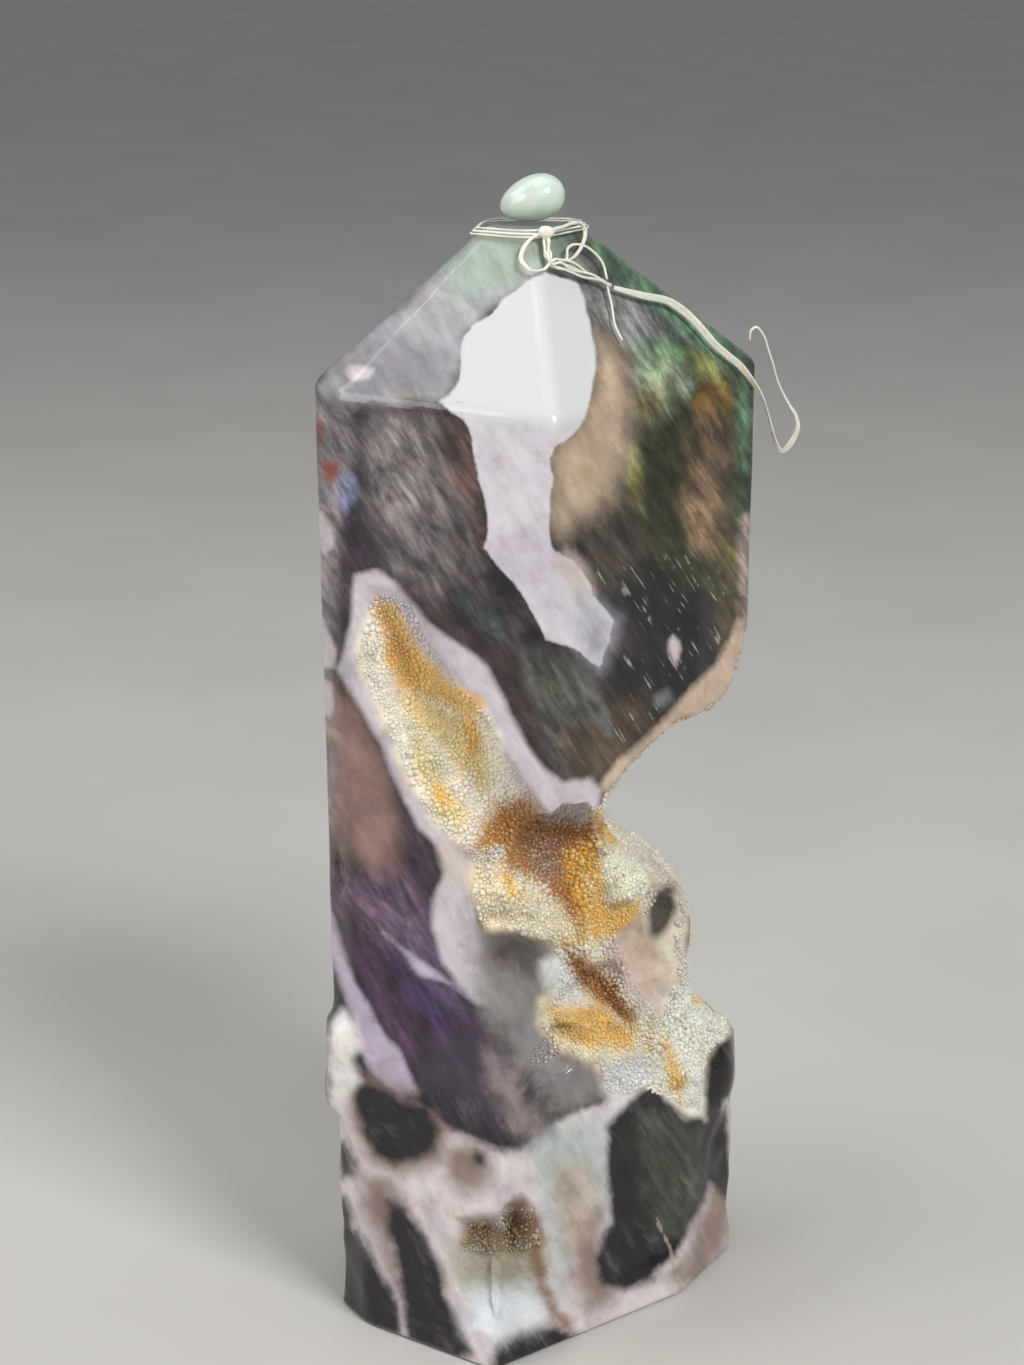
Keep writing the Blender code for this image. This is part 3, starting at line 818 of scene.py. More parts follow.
# Relief cut or raised on the front: how far it is sunk, how wide its edge is, in mm, and its outline
relief = {
    "waist": (0.9, 2.4, crystalGround[0]),
    "troughWall": (2.0, 4.0, crystalGround[1]),
    "footWall": (2.8, 3.2, [(452, 1215), (500, 1211), (522, 1200), (537, 1202), (548, 1238), (557, 1280),
                            (553, 1314), (530, 1330), (498, 1340), (464, 1330), (450, 1290), (444, 1250)]),
    "eyeHole": (1.8, 0.9, [(668, 884), (677, 888), (678, 908), (669, 930), (656, 941), (647, 934),
                           (647, 910), (656, 892)]),
    "gash": (1.3, 1.6, [(560, 905), (580, 930), (566, 948), (582, 952), (604, 972), (642, 1016),
                        (634, 1032), (612, 1020), (586, 994), (560, 966), (548, 930)]),
    "softHollow": (1.7, 3.0, [(484, 932), (515, 926), (545, 940), (552, 962), (538, 984), (508, 980),
                              (488, 964)]),
    "honeyBasin": (1.4, 3.0, [(480, 825), (505, 800), (560, 812), (600, 826), (590, 860), (600, 920),
                              (575, 930), (545, 895), (505, 872), (480, 850)]),
    "goldBasin": (0.5, 2.2, [(540, 1005), (580, 990), (636, 1022), (640, 1052), (600, 1066), (556, 1048)]),
    "leftBulge": (-1.2, 2.4, [(325, 1004), (352, 1008), (364, 1045), (364, 1084), (348, 1114),
                              (325, 1122)]),
    "brightBulge": (-1.7, 3.0, [(600, 836), (632, 828), (652, 852), (656, 884), (640, 912), (608, 914),
                                (594, 880)]),
    "creamBulge": (-1.3, 2.6, [(672, 985), (704, 985), (728, 1008), (732, 1032), (710, 1062), (704, 1112),
                               (684, 1112), (662, 1082), (660, 1020)]),
    "paleBulge": (-1.0, 2.4, [(470, 868), (500, 872), (540, 892), (560, 918), (540, 930), (490, 926),
                              (468, 900)]),
}


# Markings: outlines read off the photograph, in its pixels, painted in this order over the smoky base.
# Each has the colour seen, how soft its edge is and how far it wanders in mm, how strong it is, and
# whether it also runs down into the hollows.

markings = {
    "smoke": ((118, 110, 110), 2.6, 3.0, 0.9, False, [
        [(370, 400), (440, 412), (470, 470), (470, 560), (430, 600), (380, 570), (365, 480)]]),
    "smokePale": ((164, 156, 156), 2.0, 2.2, 0.6, False, [
        [(378, 426), (408, 430), (424, 466), (418, 500), (398, 512), (382, 490)]]),
    "smokeBrown": ((98, 80, 76), 1.6, 1.2, 0.85, False, [
        [(440, 408), (462, 420), (475, 450), (482, 490), (486, 548), (470, 520), (452, 480), (442, 440)]]),
    "smokeViolet": ((72, 62, 72), 1.8, 1.4, 0.85, False, [
        [(335, 515), (360, 512), (378, 545), (380, 580), (352, 574), (342, 640), (334, 660), (328, 600)]]),
    "tealBand": ((78, 88, 90), 1.0, 1.0, 0.7, False, [
        [(450, 590), (475, 600), (500, 620), (515, 645), (505, 648), (480, 630), (455, 608)]]),
    "blackField": ((46, 44, 44), 2.4, 2.4, 0.9, False, [
        [(575, 560), (640, 560), (745, 545), (742, 640), (700, 690), (640, 735), (605, 775), (600, 700),
         (622, 640), (600, 590)]]),
    "mossGround": ((64, 68, 50), 1.6, 2.2, 0.92, False, [
        [(628, 400), (650, 395), (748, 395), (750, 540), (730, 600), (690, 590), (650, 560), (622, 500),
         (630, 450)]]),
    "mossTop": ((96, 126, 92), 1.2, 1.6, 0.9, False, [
        [(628, 345), (640, 332), (662, 334), (690, 348), (715, 365), (722, 380), (700, 378), (672, 362),
         (640, 362)]]),
    "mossPale": ((142, 154, 128), 1.8, 1.2, 0.85, False, [
        [(634, 360), (660, 352), (684, 368), (694, 384), (676, 404), (654, 420), (642, 400), (634, 380)]]),
    "mossYellow": ((162, 156, 92), 1.2, 1.6, 0.7, False, [
        [(688, 350), (704, 352), (718, 368), (730, 388), (716, 388), (700, 372)],
        [(620, 455), (634, 450), (642, 480), (640, 508), (628, 502), (620, 480)]]),
    "mossRust": ((140, 106, 62), 1.2, 1.6, 0.7, False, [
        [(700, 386), (730, 384), (736, 404), (708, 418), (694, 406)],
        [(642, 396), (654, 396), (656, 412), (646, 416)]]),
    "mossBrown": ((112, 94, 76), 2.2, 1.4, 0.8, False, [
        [(692, 410), (720, 402), (734, 430), (733, 500), (728, 545), (716, 560), (700, 545), (690, 500)]]),
    "lastGreen": ((72, 90, 70), 1.2, 1.2, 0.75, False, [
        [(738, 396), (752, 400), (752, 500), (744, 520), (734, 505), (738, 450)]]),
    "oliveRight": ((96, 88, 62), 1.4, 1.4, 0.75, False, [
        [(716, 545), (741, 530), (744, 600), (736, 655), (714, 640), (722, 590)]]),
    "mossTan": ((160, 134, 108), 1.8, 1.4, 0.75, False, [
        [(690, 472), (706, 462), (716, 500), (712, 552), (697, 548), (687, 512)]]),
    "leftSkin": ((152, 142, 144), 1.2, 2.0, 0.8, False, [
        [(312, 392), (330, 380), (352, 395), (350, 430), (352, 470), (340, 520), (334, 600), (330, 690),
         (345, 740), (340, 800), (325, 830), (318, 700), (312, 560)]]),
    "blueChip": ((129, 133, 161), 0.7, 0.7, 0.8, False, [
        [(338, 472), (356, 478), (358, 500), (346, 512), (336, 500)]]),
    "brownShade": ((74, 62, 72), 2.0, 1.5, 0.9, False, [
        [(386, 770), (405, 790), (425, 830), (434, 868), (420, 885), (395, 875), (392, 830)]]),
    "purple": ((84, 65, 85), 2.2, 2.0, 0.9, False, [
        [(330, 868), (436, 872), (438, 930), (470, 1000), (520, 1080), (530, 1140), (430, 1140),
         (400, 1090), (345, 960), (330, 900)]]),
    "violetBrown": ((108, 86, 96), 1.6, 1.8, 0.8, False, [
        [(335, 872), (418, 878), (430, 925), (402, 945), (350, 925)]]),
    "violetDeep": ((64, 46, 84), 1.6, 1.6, 0.8, False, [
        [(392, 955), (436, 975), (466, 1012), (456, 1040), (412, 1012)]]),
    "violetDark": ((54, 46, 54), 1.6, 2.0, 0.8, False, [
        [(400, 1062), (450, 1070), (500, 1096), (520, 1150), (440, 1120), (405, 1095)]]),
    "violetGleam": ((112, 100, 122), 2.2, 1.6, 0.55, False, [
        [(350, 872), (410, 880), (452, 965), (470, 1010), (440, 1010), (400, 960), (360, 905)]]),
    "greyWedge": ((128, 130, 128), 1.5, 1.2, 0.85, False, [
        [(565, 262), (590, 262), (640, 300), (690, 345), (660, 336), (640, 352), (624, 352), (602, 335),
         (588, 316), (574, 285)]]),
    "beigeShade": ((84, 77, 71), 2.2, 1.6, 0.85, False, [
        [(566, 505), (600, 500), (622, 478), (640, 500), (640, 570), (610, 600), (575, 560), (553, 545)]]),
    "mossEdge": ((104, 132, 108), 1.2, 1.2, 0.85, False, [
        [(580, 222), (612, 240), (680, 290), (745, 350), (752, 400), (748, 470), (740, 470), (740, 400),
         (728, 372), (690, 340), (640, 300), (598, 262)]]),
    "rightSkin": ((176, 158, 148), 0.9, 0.8, 0.9, False, [
        [(741, 520), (750, 515), (752, 640), (741, 640), (738, 590)]]),
    "greyTongue": ((98, 100, 92), 2.2, 1.6, 0.8, False, [
        [(522, 655), (545, 650), (575, 660), (598, 690), (606, 720), (600, 750), (588, 765), (565, 768),
         (550, 752), (540, 728), (530, 700), (525, 678)]]),
    "darkBand": ((74, 62, 64), 1.8, 1.2, 0.9, False, [
        [(400, 588), (430, 598), (462, 628), (502, 640), (525, 690), (542, 740), (562, 778), (545, 772),
         (520, 750), (500, 720), (488, 682), (470, 657), (440, 632), (418, 608)]]),
    "notchBrown": ((92, 78, 66), 1.8, 1.4, 0.85, False, [
        [(560, 735), (600, 712), (640, 700), (650, 730), (620, 762), (598, 786), (572, 775)]]),
    "pinkBrown": ((158, 128, 118), 2.4, 1.6, 0.9, False, [
        [(330, 690), (352, 700), (372, 738), (386, 775), (396, 820), (395, 862), (372, 872), (345, 850),
         (330, 820)]]),
    "beige": ((194, 174, 150), 2.4, 1.2, 0.92, False, [
        [(597, 335), (612, 345), (622, 362), (628, 390), (630, 420), (630, 445), (622, 470), (612, 492),
         (598, 508), (578, 520), (560, 535), (551, 520), (552, 455), (565, 440), (580, 425), (592, 395),
         (596, 362)]]),
    # painted sheen: the pyramid's left facet is a pale grey-green haze, lit paler by painted reflected
    # light, greener near the tip and dimmer towards the lower left
    "pyramidPaintedSheen": ((186, 184, 186), 1.2, 1.6, 0.82, False, [
        [(481, 228), (540, 232), (548, 270), (520, 290), (490, 310), (466, 335), (460, 372), (447, 402),
         (330, 402), (316, 388), (340, 360), (410, 295)]]),
    "greenPaintedSheen": ((163, 181, 163), 2.4, 1.6, 0.7, False, [
        [(481, 228), (560, 224), (575, 260), (545, 275), (500, 292), (452, 300), (440, 262)]]),
    "dimPaintedSheen": ((118, 116, 122), 2.0, 1.6, 0.55, False, [
        [(330, 366), (400, 330), (440, 350), (444, 396), (380, 400), (330, 402)]]),
    "white": ((214, 208, 214), 0.22, 1.1, 1.0, False, [
        [(545, 272), (575, 283), (583, 300), (590, 322), (593, 345), (597, 368), (592, 390), (586, 408),
         (580, 428), (572, 436), (556, 447), (551, 460), (550, 500), (550, 545), (556, 552), (572, 560),
         (583, 575), (592, 590), (600, 605), (608, 612), (615, 620), (612, 632), (607, 645), (603, 660),
         (600, 667), (590, 660), (575, 648), (560, 645), (545, 640), (538, 625), (527, 605), (517, 590),
         (505, 572), (495, 560), (484, 548), (487, 530), (485, 510), (482, 490), (480, 470), (475, 450),
         (470, 430), (462, 420), (450, 412), (441, 405), (452, 395), (460, 380), (463, 345), (465, 335),
         (475, 325), (490, 315), (503, 300), (520, 290), (535, 278)]]),
    "brightWhite": ((208, 210, 208), 0.3, 1.0, 1.0, False, [
        [(545, 272), (575, 283), (583, 300), (590, 322), (593, 345), (597, 368), (592, 390), (586, 408),
         (582, 425), (572, 435), (560, 437), (548, 432), (538, 425), (528, 415), (520, 425), (510, 424),
         (497, 430), (485, 420), (470, 412), (455, 408), (441, 402), (452, 393), (460, 380), (463, 345),
         (465, 335), (475, 325), (490, 315), (503, 300), (520, 290), (535, 278)]]),
    "creamFoot": ((208, 194, 184), 1.4, 0.8, 0.8, False, [
        [(556, 560), (566, 552), (584, 566), (594, 592), (586, 600), (566, 590)]]),
    "whiteFoot": ((182, 184, 194), 1.8, 0.8, 0.8, False, [
        [(572, 590), (600, 605), (618, 620), (612, 645), (600, 668), (578, 640)]]),
    "violetBand": ((200, 186, 205), 0.5, 0.7, 0.95, False, [
        [(330, 905), (337, 930), (345, 955), (355, 980), (370, 1005), (385, 1035), (400, 1050), (413, 1080),
         (420, 1098), (400, 1098), (385, 1085), (370, 1070), (360, 1050), (352, 1020), (343, 990),
         (332, 960), (326, 930)],
        [(383, 932), (400, 950), (420, 975), (455, 985), (470, 1000), (440, 975), (400, 945)]]),
    "lowerPale": ((222, 211, 212), 0.5, 0.9, 1.0, False, [
        [(333, 1080), (360, 1088), (420, 1100), (440, 1120), (468, 1132), (520, 1148), (560, 1120),
         (610, 1100), (640, 1088), (733, 1100), (735, 1260), (664, 1335), (600, 1345), (470, 1378),
         (340, 1335), (333, 1200)]]),
    "whitePlate": ((190, 198, 194), 1.8, 1.0, 0.9, False, [
        [(540, 1130), (600, 1118), (612, 1160), (606, 1225), (580, 1235), (560, 1290), (548, 1240),
         (535, 1200), (530, 1160)]]),
    "brownHalo": ((140, 118, 108), 1.8, 1.0, 0.9, False, [
        [(352, 1090), (368, 1074), (410, 1088), (445, 1105), (452, 1135), (440, 1165), (405, 1178),
         (372, 1166), (352, 1130)],
        [(448, 1150), (468, 1142), (486, 1150), (494, 1172), (484, 1192), (462, 1194), (447, 1178)],
        [(360, 1175), (390, 1176), (402, 1200), (396, 1250), (404, 1295), (388, 1275), (374, 1235),
         (360, 1205)],
        [(575, 1215), (600, 1212), (604, 1270), (618, 1296), (590, 1312), (572, 1275)],
        [(725, 1170), (738, 1180), (732, 1240), (700, 1290), (672, 1282), (690, 1240), (706, 1200),
         (712, 1180)]]),
    "blobBlack": ((52, 45, 53), 0.9, 0.9, 1.0, False, [
        [(356, 1082), (380, 1086), (400, 1099), (430, 1106), (440, 1130), (432, 1150), (420, 1160),
         (395, 1165), (375, 1155), (362, 1130), (352, 1100)],
        [(405, 1098), (440, 1085), (500, 1098), (520, 1130), (520, 1148), (503, 1152), (455, 1132),
         (430, 1112)],
        [(334, 1140), (345, 1140), (355, 1160), (355, 1175), (340, 1182)],
        [(334, 1188), (345, 1195), (355, 1225), (372, 1255), (390, 1285), (400, 1310), (405, 1350),
         (342, 1325), (336, 1250)],
        [(386, 1200), (405, 1205), (425, 1235), (440, 1265), (447, 1295), (460, 1325), (472, 1352),
         (441, 1370), (405, 1350), (402, 1300), (396, 1260), (386, 1225)],
        [(500, 1342), (530, 1327), (560, 1327), (582, 1337), (560, 1350), (520, 1368), (485, 1380)],
        [(476, 1150), (484, 1156), (482, 1166), (474, 1162)]]),
    "rightBlack": ((38, 39, 39), 0.7, 1.2, 1.0, False, [
        [(605, 1125), (640, 1090), (655, 1085), (665, 1100), (690, 1110), (705, 1120), (702, 1050),
         (708, 1040), (722, 1035), (724, 1100), (730, 1160), (734, 1200), (708, 1182), (705, 1202),
         (690, 1232), (675, 1256), (650, 1280), (625, 1290), (602, 1285), (594, 1260), (602, 1235),
         (612, 1222), (608, 1180)]]),
    "rightMoss": ((84, 90, 78), 1.5, 3.0, 0.7, False, [
        [(640, 1112), (665, 1108), (690, 1130), (695, 1180), (680, 1230), (655, 1240), (648, 1190),
         (638, 1150)]]),
    "leftLump": ((238, 234, 229), 1.0, 0.8, 1.0, False, [
        [(345, 1010), (355, 1020), (360, 1045), (352, 1060), (360, 1080), (348, 1092), (340, 1110),
         (330, 1115), (327, 1040), (334, 1016)]]),
    "streakyDark": ((78, 72, 84), 2.2, 2.2, 0.8, False, [
        [(430, 1040), (470, 1020), (500, 1050), (530, 1100), (545, 1130), (520, 1148), (450, 1110),
         (420, 1080)]]),
    "paleRim": ((207, 198, 204), 0.55, 0.6, 1.0, True, [
        [(340, 662), (350, 620), (355, 575), (378, 570), (395, 583), (412, 603), (428, 622), (447, 637),
         (470, 652), (488, 668), (500, 690), (510, 712), (524, 742), (542, 765), (562, 782), (590, 778),
         (603, 790), (600, 805), (588, 816), (570, 824), (540, 818), (505, 800), (490, 820), (470, 850),
         (446, 860), (440, 882), (432, 900), (434, 930), (442, 960), (457, 985), (474, 1002), (500, 1010),
         (500, 960), (480, 930), (470, 880), (440, 850), (417, 828), (400, 790), (388, 765), (378, 740),
         (363, 710), (348, 685), (335, 668)]]),
    "troughCream": ((252, 240, 216), 0.7, 0.9, 1.0, True, [
        [(378, 600), (395, 606), (407, 630), (426, 655), (446, 680), (476, 700), (490, 716), (500, 735),
         (506, 760), (520, 790), (500, 815), (476, 850), (456, 850), (431, 820), (406, 780), (386, 735),
         (366, 690), (353, 652), (362, 622)]]),
    "troughYellow": ((246, 214, 138), 1.0, 1.8, 0.8, True, [
        [(392, 690), (420, 690), (446, 712), (470, 722), (490, 760), (486, 790), (462, 772), (440, 742),
         (410, 722)],
        [(414, 720), (440, 770), (470, 812), (462, 836), (438, 812), (416, 770)]]),
    "troughGreen": ((208, 204, 168), 1.2, 1.8, 0.6, True, [
        [(404, 650), (424, 668), (430, 690), (412, 684)],
        [(410, 722), (440, 740), (452, 776), (436, 790), (416, 762)]]),
    "peachRim": ((202, 180, 160), 0.6, 0.7, 1.0, True, [
        [(746, 620), (748, 660), (742, 684), (718, 720), (692, 726), (682, 726), (652, 746), (622, 780),
         (609, 795), (598, 786), (618, 762), (650, 735), (670, 712), (690, 690), (715, 665), (730, 640),
         (738, 620)]]),
    "greyMass": ((222, 210, 190), 1.2, 1.2, 1.0, True, [
        [(604, 838), (622, 826), (650, 834), (672, 850), (690, 862), (690, 905), (684, 940), (690, 985),
         (700, 1010), (668, 1045), (640, 1010), (610, 960), (598, 900)]]),
    "rimFill": ((214, 200, 190), 0.8, 0.8, 1.0, True, [
        [(436, 842), (462, 842), (482, 862), (476, 884), (454, 884), (440, 868)]]),
    "greyFloor": ((146, 142, 140), 1.8, 1.6, 0.95, True, [
        [(475, 930), (500, 930), (548, 938), (562, 960), (560, 1010), (600, 1060), (610, 1095), (560, 1110),
         (530, 1080), (500, 1040), (474, 1000)]]),
    "softShade": ((80, 72, 70), 1.8, 1.2, 0.85, True, [
        [(488, 938), (515, 934), (540, 942), (546, 958), (535, 976), (512, 972), (492, 960)]]),
    "honeyHollow": ((176, 120, 58), 1.3, 1.3, 1.0, True, [
        [(480, 825), (500, 800), (525, 795), (545, 818), (580, 824), (605, 812), (616, 825), (602, 845),
         (577, 870), (590, 900), (600, 920), (580, 932), (560, 905), (540, 880), (505, 870), (500, 850),
         (476, 846)]]),
    "fawnFloor": ((156, 118, 98), 1.5, 0.8, 0.85, True, [
        [(526, 838), (545, 828), (566, 838), (568, 866), (556, 884), (536, 876), (524, 858)]]),
    "creamWall": ((252, 234, 194), 1.0, 1.0, 1.0, True, [
        [(470, 862), (500, 872), (530, 885), (556, 908), (572, 932), (548, 936), (520, 930), (488, 930),
         (472, 900)],
        [(540, 1000), (575, 985), (610, 1005), (640, 1022), (640, 1052), (600, 1066), (560, 1050),
         (538, 1025)]]),
    "massPink": ((208, 184, 170), 1.6, 1.2, 0.8, True, [
        [(612, 930), (650, 944), (660, 985), (640, 1010), (618, 985), (606, 955)],
        [(655, 850), (684, 868), (688, 884), (664, 880)]]),
    "massShade": ((170, 150, 130), 1.2, 1.0, 0.7, True, [
        [(600, 912), (640, 914), (655, 938), (668, 968), (650, 962), (630, 936), (604, 930)]]),
    # painted highlight: the lit cream lump painted near white where the light strikes it
    "highlightLump": ((255, 250, 214), 1.1, 0.8, 1.0, True, [
        [(605, 842), (622, 836), (642, 852), (648, 880), (636, 906), (612, 908), (600, 880)]]),
    "whiteShelf": ((226, 226, 221), 1.2, 1.0, 0.95, True, [
        [(540, 962), (560, 952), (578, 975), (584, 1010), (560, 1000), (545, 985)],
        [(600, 1068), (650, 1054), (668, 1075), (640, 1090), (610, 1112)]]),
    "honeyGash": ((163, 108, 54), 0.9, 0.9, 1.0, True, [
        [(566, 948), (582, 952), (604, 975), (640, 1018), (634, 1030), (615, 1018), (588, 992),
         (568, 970)]]),
    "creamLump": ((250, 248, 228), 0.9, 0.8, 1.0, True, [
        [(672, 985), (700, 988), (724, 1010), (730, 1032), (716, 1044), (706, 1062), (702, 1112),
         (688, 1118), (674, 1102), (660, 1086), (656, 1040), (664, 1000)]]),
    # painted shade: the dark inside the sunk eye hole
    "eyeHoleShade": ((78, 72, 66), 0.7, 0.4, 1.0, True, [
        [(668, 884), (675, 888), (676, 908), (668, 928), (656, 940), (648, 934), (648, 910), (656, 892)]]),
    "fawnCloud": ((190, 170, 150), 1.8, 0.9, 0.75, False, [
        [(556, 1165), (585, 1160), (600, 1200), (592, 1238), (568, 1246), (554, 1200)]]),
    "footBrown": ((128, 102, 76), 1.5, 1.1, 1.0, True, [
        [(466, 1224), (484, 1216), (503, 1222), (505, 1208), (522, 1203), (537, 1220), (543, 1242),
         (536, 1264), (500, 1266), (478, 1260), (462, 1244)]]),
    "footOlive": ((160, 156, 134), 2.2, 1.6, 0.9, True, [
        [(450, 1248), (505, 1250), (545, 1240), (552, 1275), (540, 1300), (462, 1300)]]),
    "footWhite": ((212, 216, 218), 2.2, 1.6, 1.0, True, [
        [(458, 1290), (500, 1285), (550, 1285), (548, 1312), (530, 1328), (500, 1338), (470, 1332)]]),
    "goldFleck": ((240, 180, 76), 0.8, 1.4, 0.85, True, [
        [(378, 598), (396, 606), (412, 632), (424, 655), (446, 678), (480, 700), (484, 718), (462, 714),
         (440, 700), (415, 694), (398, 688), (386, 664), (386, 638), (378, 615)],
        [(462, 700), (478, 702), (482, 750), (468, 756)],
        [(432, 780), (446, 790), (446, 806), (434, 802)],
        [(562, 850), (598, 838), (604, 870), (604, 905), (640, 900), (640, 914), (610, 936), (594, 942),
         (574, 900)],
        [(604, 832), (640, 824), (652, 846), (636, 843), (608, 848)],
        [(498, 870), (512, 876), (520, 900), (506, 896)],
        [(548, 1010), (600, 1006), (636, 1030), (632, 1050), (590, 1046), (560, 1036)],
        [(657, 1030), (668, 1036), (684, 1080), (680, 1100), (668, 1080)]]),
    "footEdge": ((132, 92, 62), 0.7, 1.7, 0.75, True, [
        [(505, 1204), (526, 1194), (533, 1206), (543, 1238), (538, 1252), (547, 1284), (558, 1312),
         (572, 1322), (570, 1328), (554, 1318), (541, 1290), (531, 1255), (536, 1240), (526, 1210),
         (508, 1210)]]),
    "roseStreak": ((176, 158, 156), 2.0, 2.2, 0.7, False, [
        [(486, 1050), (502, 1060), (524, 1096), (542, 1114), (536, 1136), (518, 1130), (500, 1100),
         (487, 1076)]]),
    "paleChip": ((208, 196, 198), 0.4, 0.5, 0.9, False, [
        [(343, 371), (350, 364), (362, 366), (374, 368), (370, 378), (352, 382)],
        [(314, 512), (324, 510), (334, 530), (333, 548), (324, 553), (316, 535)],
        [(320, 615), (326, 622), (336, 650), (334, 668), (324, 668), (320, 645)],
        [(321, 676), (332, 684), (334, 704), (330, 718), (322, 712)],
        [(362, 1320), (400, 1336), (440, 1350), (441, 1362), (400, 1348), (365, 1331)],
        [(673, 634), (680, 640), (682, 650), (676, 668), (668, 652), (668, 640)]]),
    "softChip": ((128, 132, 128), 0.7, 0.6, 0.8, False, [
        [(654, 696), (668, 688), (672, 700), (664, 708), (654, 704)],
        [(580, 684), (600, 694), (608, 712), (614, 740), (606, 736), (598, 706), (584, 694)],
        [(588, 712), (602, 722), (602, 728), (592, 722)]]),
    # a real crack near the foot, and a painted highlight along the bevel of the left shoulder edge
    "crackAndEdgeHighlight": ((176, 164, 146), 0.1, 0.6, 0.6, False, [
        [(655, 1212), (663, 1230), (671, 1246), (676, 1268), (684, 1294), (681, 1295), (672, 1268),
         (667, 1246), (659, 1230)],
        [(392, 398), (430, 396), (460, 403), (470, 402), (470, 400), (460, 400), (430, 393), (392, 395)]]),
    "redSpot": ((160, 72, 56), 0.7, 0.5, 0.9, False, [
        [(323, 462), (338, 462), (338, 474), (331, 484), (323, 478)],
        [(312, 422), (320, 424), (322, 436), (314, 437)]]),
}

# The hidden sides: more of the same markings, as ovals. Angle round the axis in degrees, 0 in front
# and 90 on the right, height, half width and half height in mm.
hiddenMarkings = {
    "smoke": [(150, 92, 9, 16), (230, 70, 9, 22), (262, 30, 7, 9), (120, 30, 7, 9)],
    "mossTop": [(166, 104, 11, 9), (176, 20, 10, 9), (226, 108, 8, 7)],
    "mossPale": [(160, 106, 5, 5), (180, 24, 4, 4)],
    "mossYellow": [(174, 98, 4, 3), (170, 14, 4, 3)],
    "blackField": [(205, 90, 9, 13), (150, 48, 10, 11), (126, 92, 6, 10)],
    "purple": [(250, 42, 8, 14), (180, 78, 7, 11)],
    "violetGleam": [(256, 46, 3, 6)],
    "greyTongue": [(190, 44, 5, 14)],
    "mossEdge": [(75, 124, 6, 6), (120, 124, 7, 6)],
    "beige": [(168, 82, 7, 14), (212, 52, 7, 17), (240, 84, 6, 14)],
    "pinkBrown": [(244, 62, 5, 12), (136, 70, 5, 8)],
    # painted sheen on the pyramid's hidden facets
    "pyramidPaintedSheen": [(200, 124, 12, 6), (250, 122, 9, 5)],
    "white": [(148, 98, 6, 13), (154, 84, 4.5, 12), (196, 60, 9, 15), (188, 38, 6, 12), (250, 96, 6, 15)],
    "brightWhite": [(148, 102, 4, 7), (196, 64, 6, 8)],
    "lowerPale": [(110, 12, 11, 10), (160, 30, 9, 10), (232, 16, 12, 12), (268, 24, 6, 12),
                  (200, 10, 10, 6)],
    "violetBand": [(214, 34, 3, 12), (258, 52, 2.5, 14)],
    "brownHalo": [(112, 12, 5.5, 6), (232, 18, 6, 7), (196, 42, 4, 7)],
    "blobBlack": [(232, 18, 4, 5), (162, 8, 6, 5), (262, 12, 5, 6)],
    "rightBlack": [(90, 18, 6, 12), (204, 8, 6, 5)],
    "goldFleck": [(97, 60, 3, 7), (180, 30, 2, 3)],
    "greyMass": [(96, 56, 9, 14)],
    "massShade": [(104, 60, 4, 7)],
    "creamLump": [(92, 44, 5, 6)],
}

markingPlan = {
    "pixelsPerMm": 8.4,
    "fadeFrom": -4.5,         # the front's markings fade out between these, in mm of frontness
    "fadeTo": -1.0,
    "rawFrom": -3.0,          # and the raw ground between these
    "rawTo": -1.0,
    "farOutside": -9.0,
    "hollowDepth": 0.5,       # markings that stay on the faces end at this depth
    "hollowLoss": 3.0,
    "bend": 6.0,              # how far the outlines on the hidden sides wander
    "bendSize": 13,
    "ripple": 1.7,
    "rippleSize": 4.5,
    "middle": (0.0, 1.0),     # the axis that the hidden sides are unrolled round
    "radius": 23.0,
}


def outlineDistance(points, outline):
    # signed distance of points to a closed outline, positive inside, in the outline's own unit
    nearest = np.full(len(points), 1e9)
    inside = np.zeros(len(points), bool)
    for index, start in enumerate(outline):
        a, b = np.array(start, float), np.array(outline[(index + 1) % len(outline)], float)
        side = b - a
        share = np.clip(((points - a) @ side) / max(side @ side, 1e-9), 0, 1)
        nearest = np.minimum(nearest, np.linalg.norm(points - a - share[:, None] * side, axis=1))
        crosses = (a[1] > points[:, 1]) != (b[1] > points[:, 1])
        if abs(side[1]) > 1e-9:
            inside ^= crosses & (points[:, 0] < a[0] + (points[:, 1] - a[1]) * side[0] / side[1])
    return np.where(inside, nearest, -nearest)


def hiddenBend(places):
    # how far the outlines on the hidden sides wander, along the face and upwards, in mm
    plan = markingPlan
    return [np.array([rough(place, plan["bendSize"], seed) * plan["bend"]
                      + rough(place, plan["rippleSize"], seed + 5) * plan["ripple"] for place in places])
            for seed in (61, 62)]


def hiddenDistance(places, ovals, bent):
    # rough signed distance in mm to ovals on the hidden sides, bent out of shape
    across, away = places[:, 0] - markingPlan["middle"][0], places[:, 1] - markingPlan["middle"][1]
    angle = np.degrees(np.arctan2(across, -away))
    shift, rise = bent
    found = np.full(len(places), markingPlan["farOutside"])
    for centre, height, width, tall in ovals:
        turn = (angle - centre + 180) % 360 - 180
        arc = np.radians(turn) * markingPlan["radius"] + shift
        reach = np.sqrt((arc / width) ** 2 + ((places[:, 2] + rise - height) / tall) ** 2)
        found = np.maximum(found, (1 - reach) * min(width, tall))
    return found


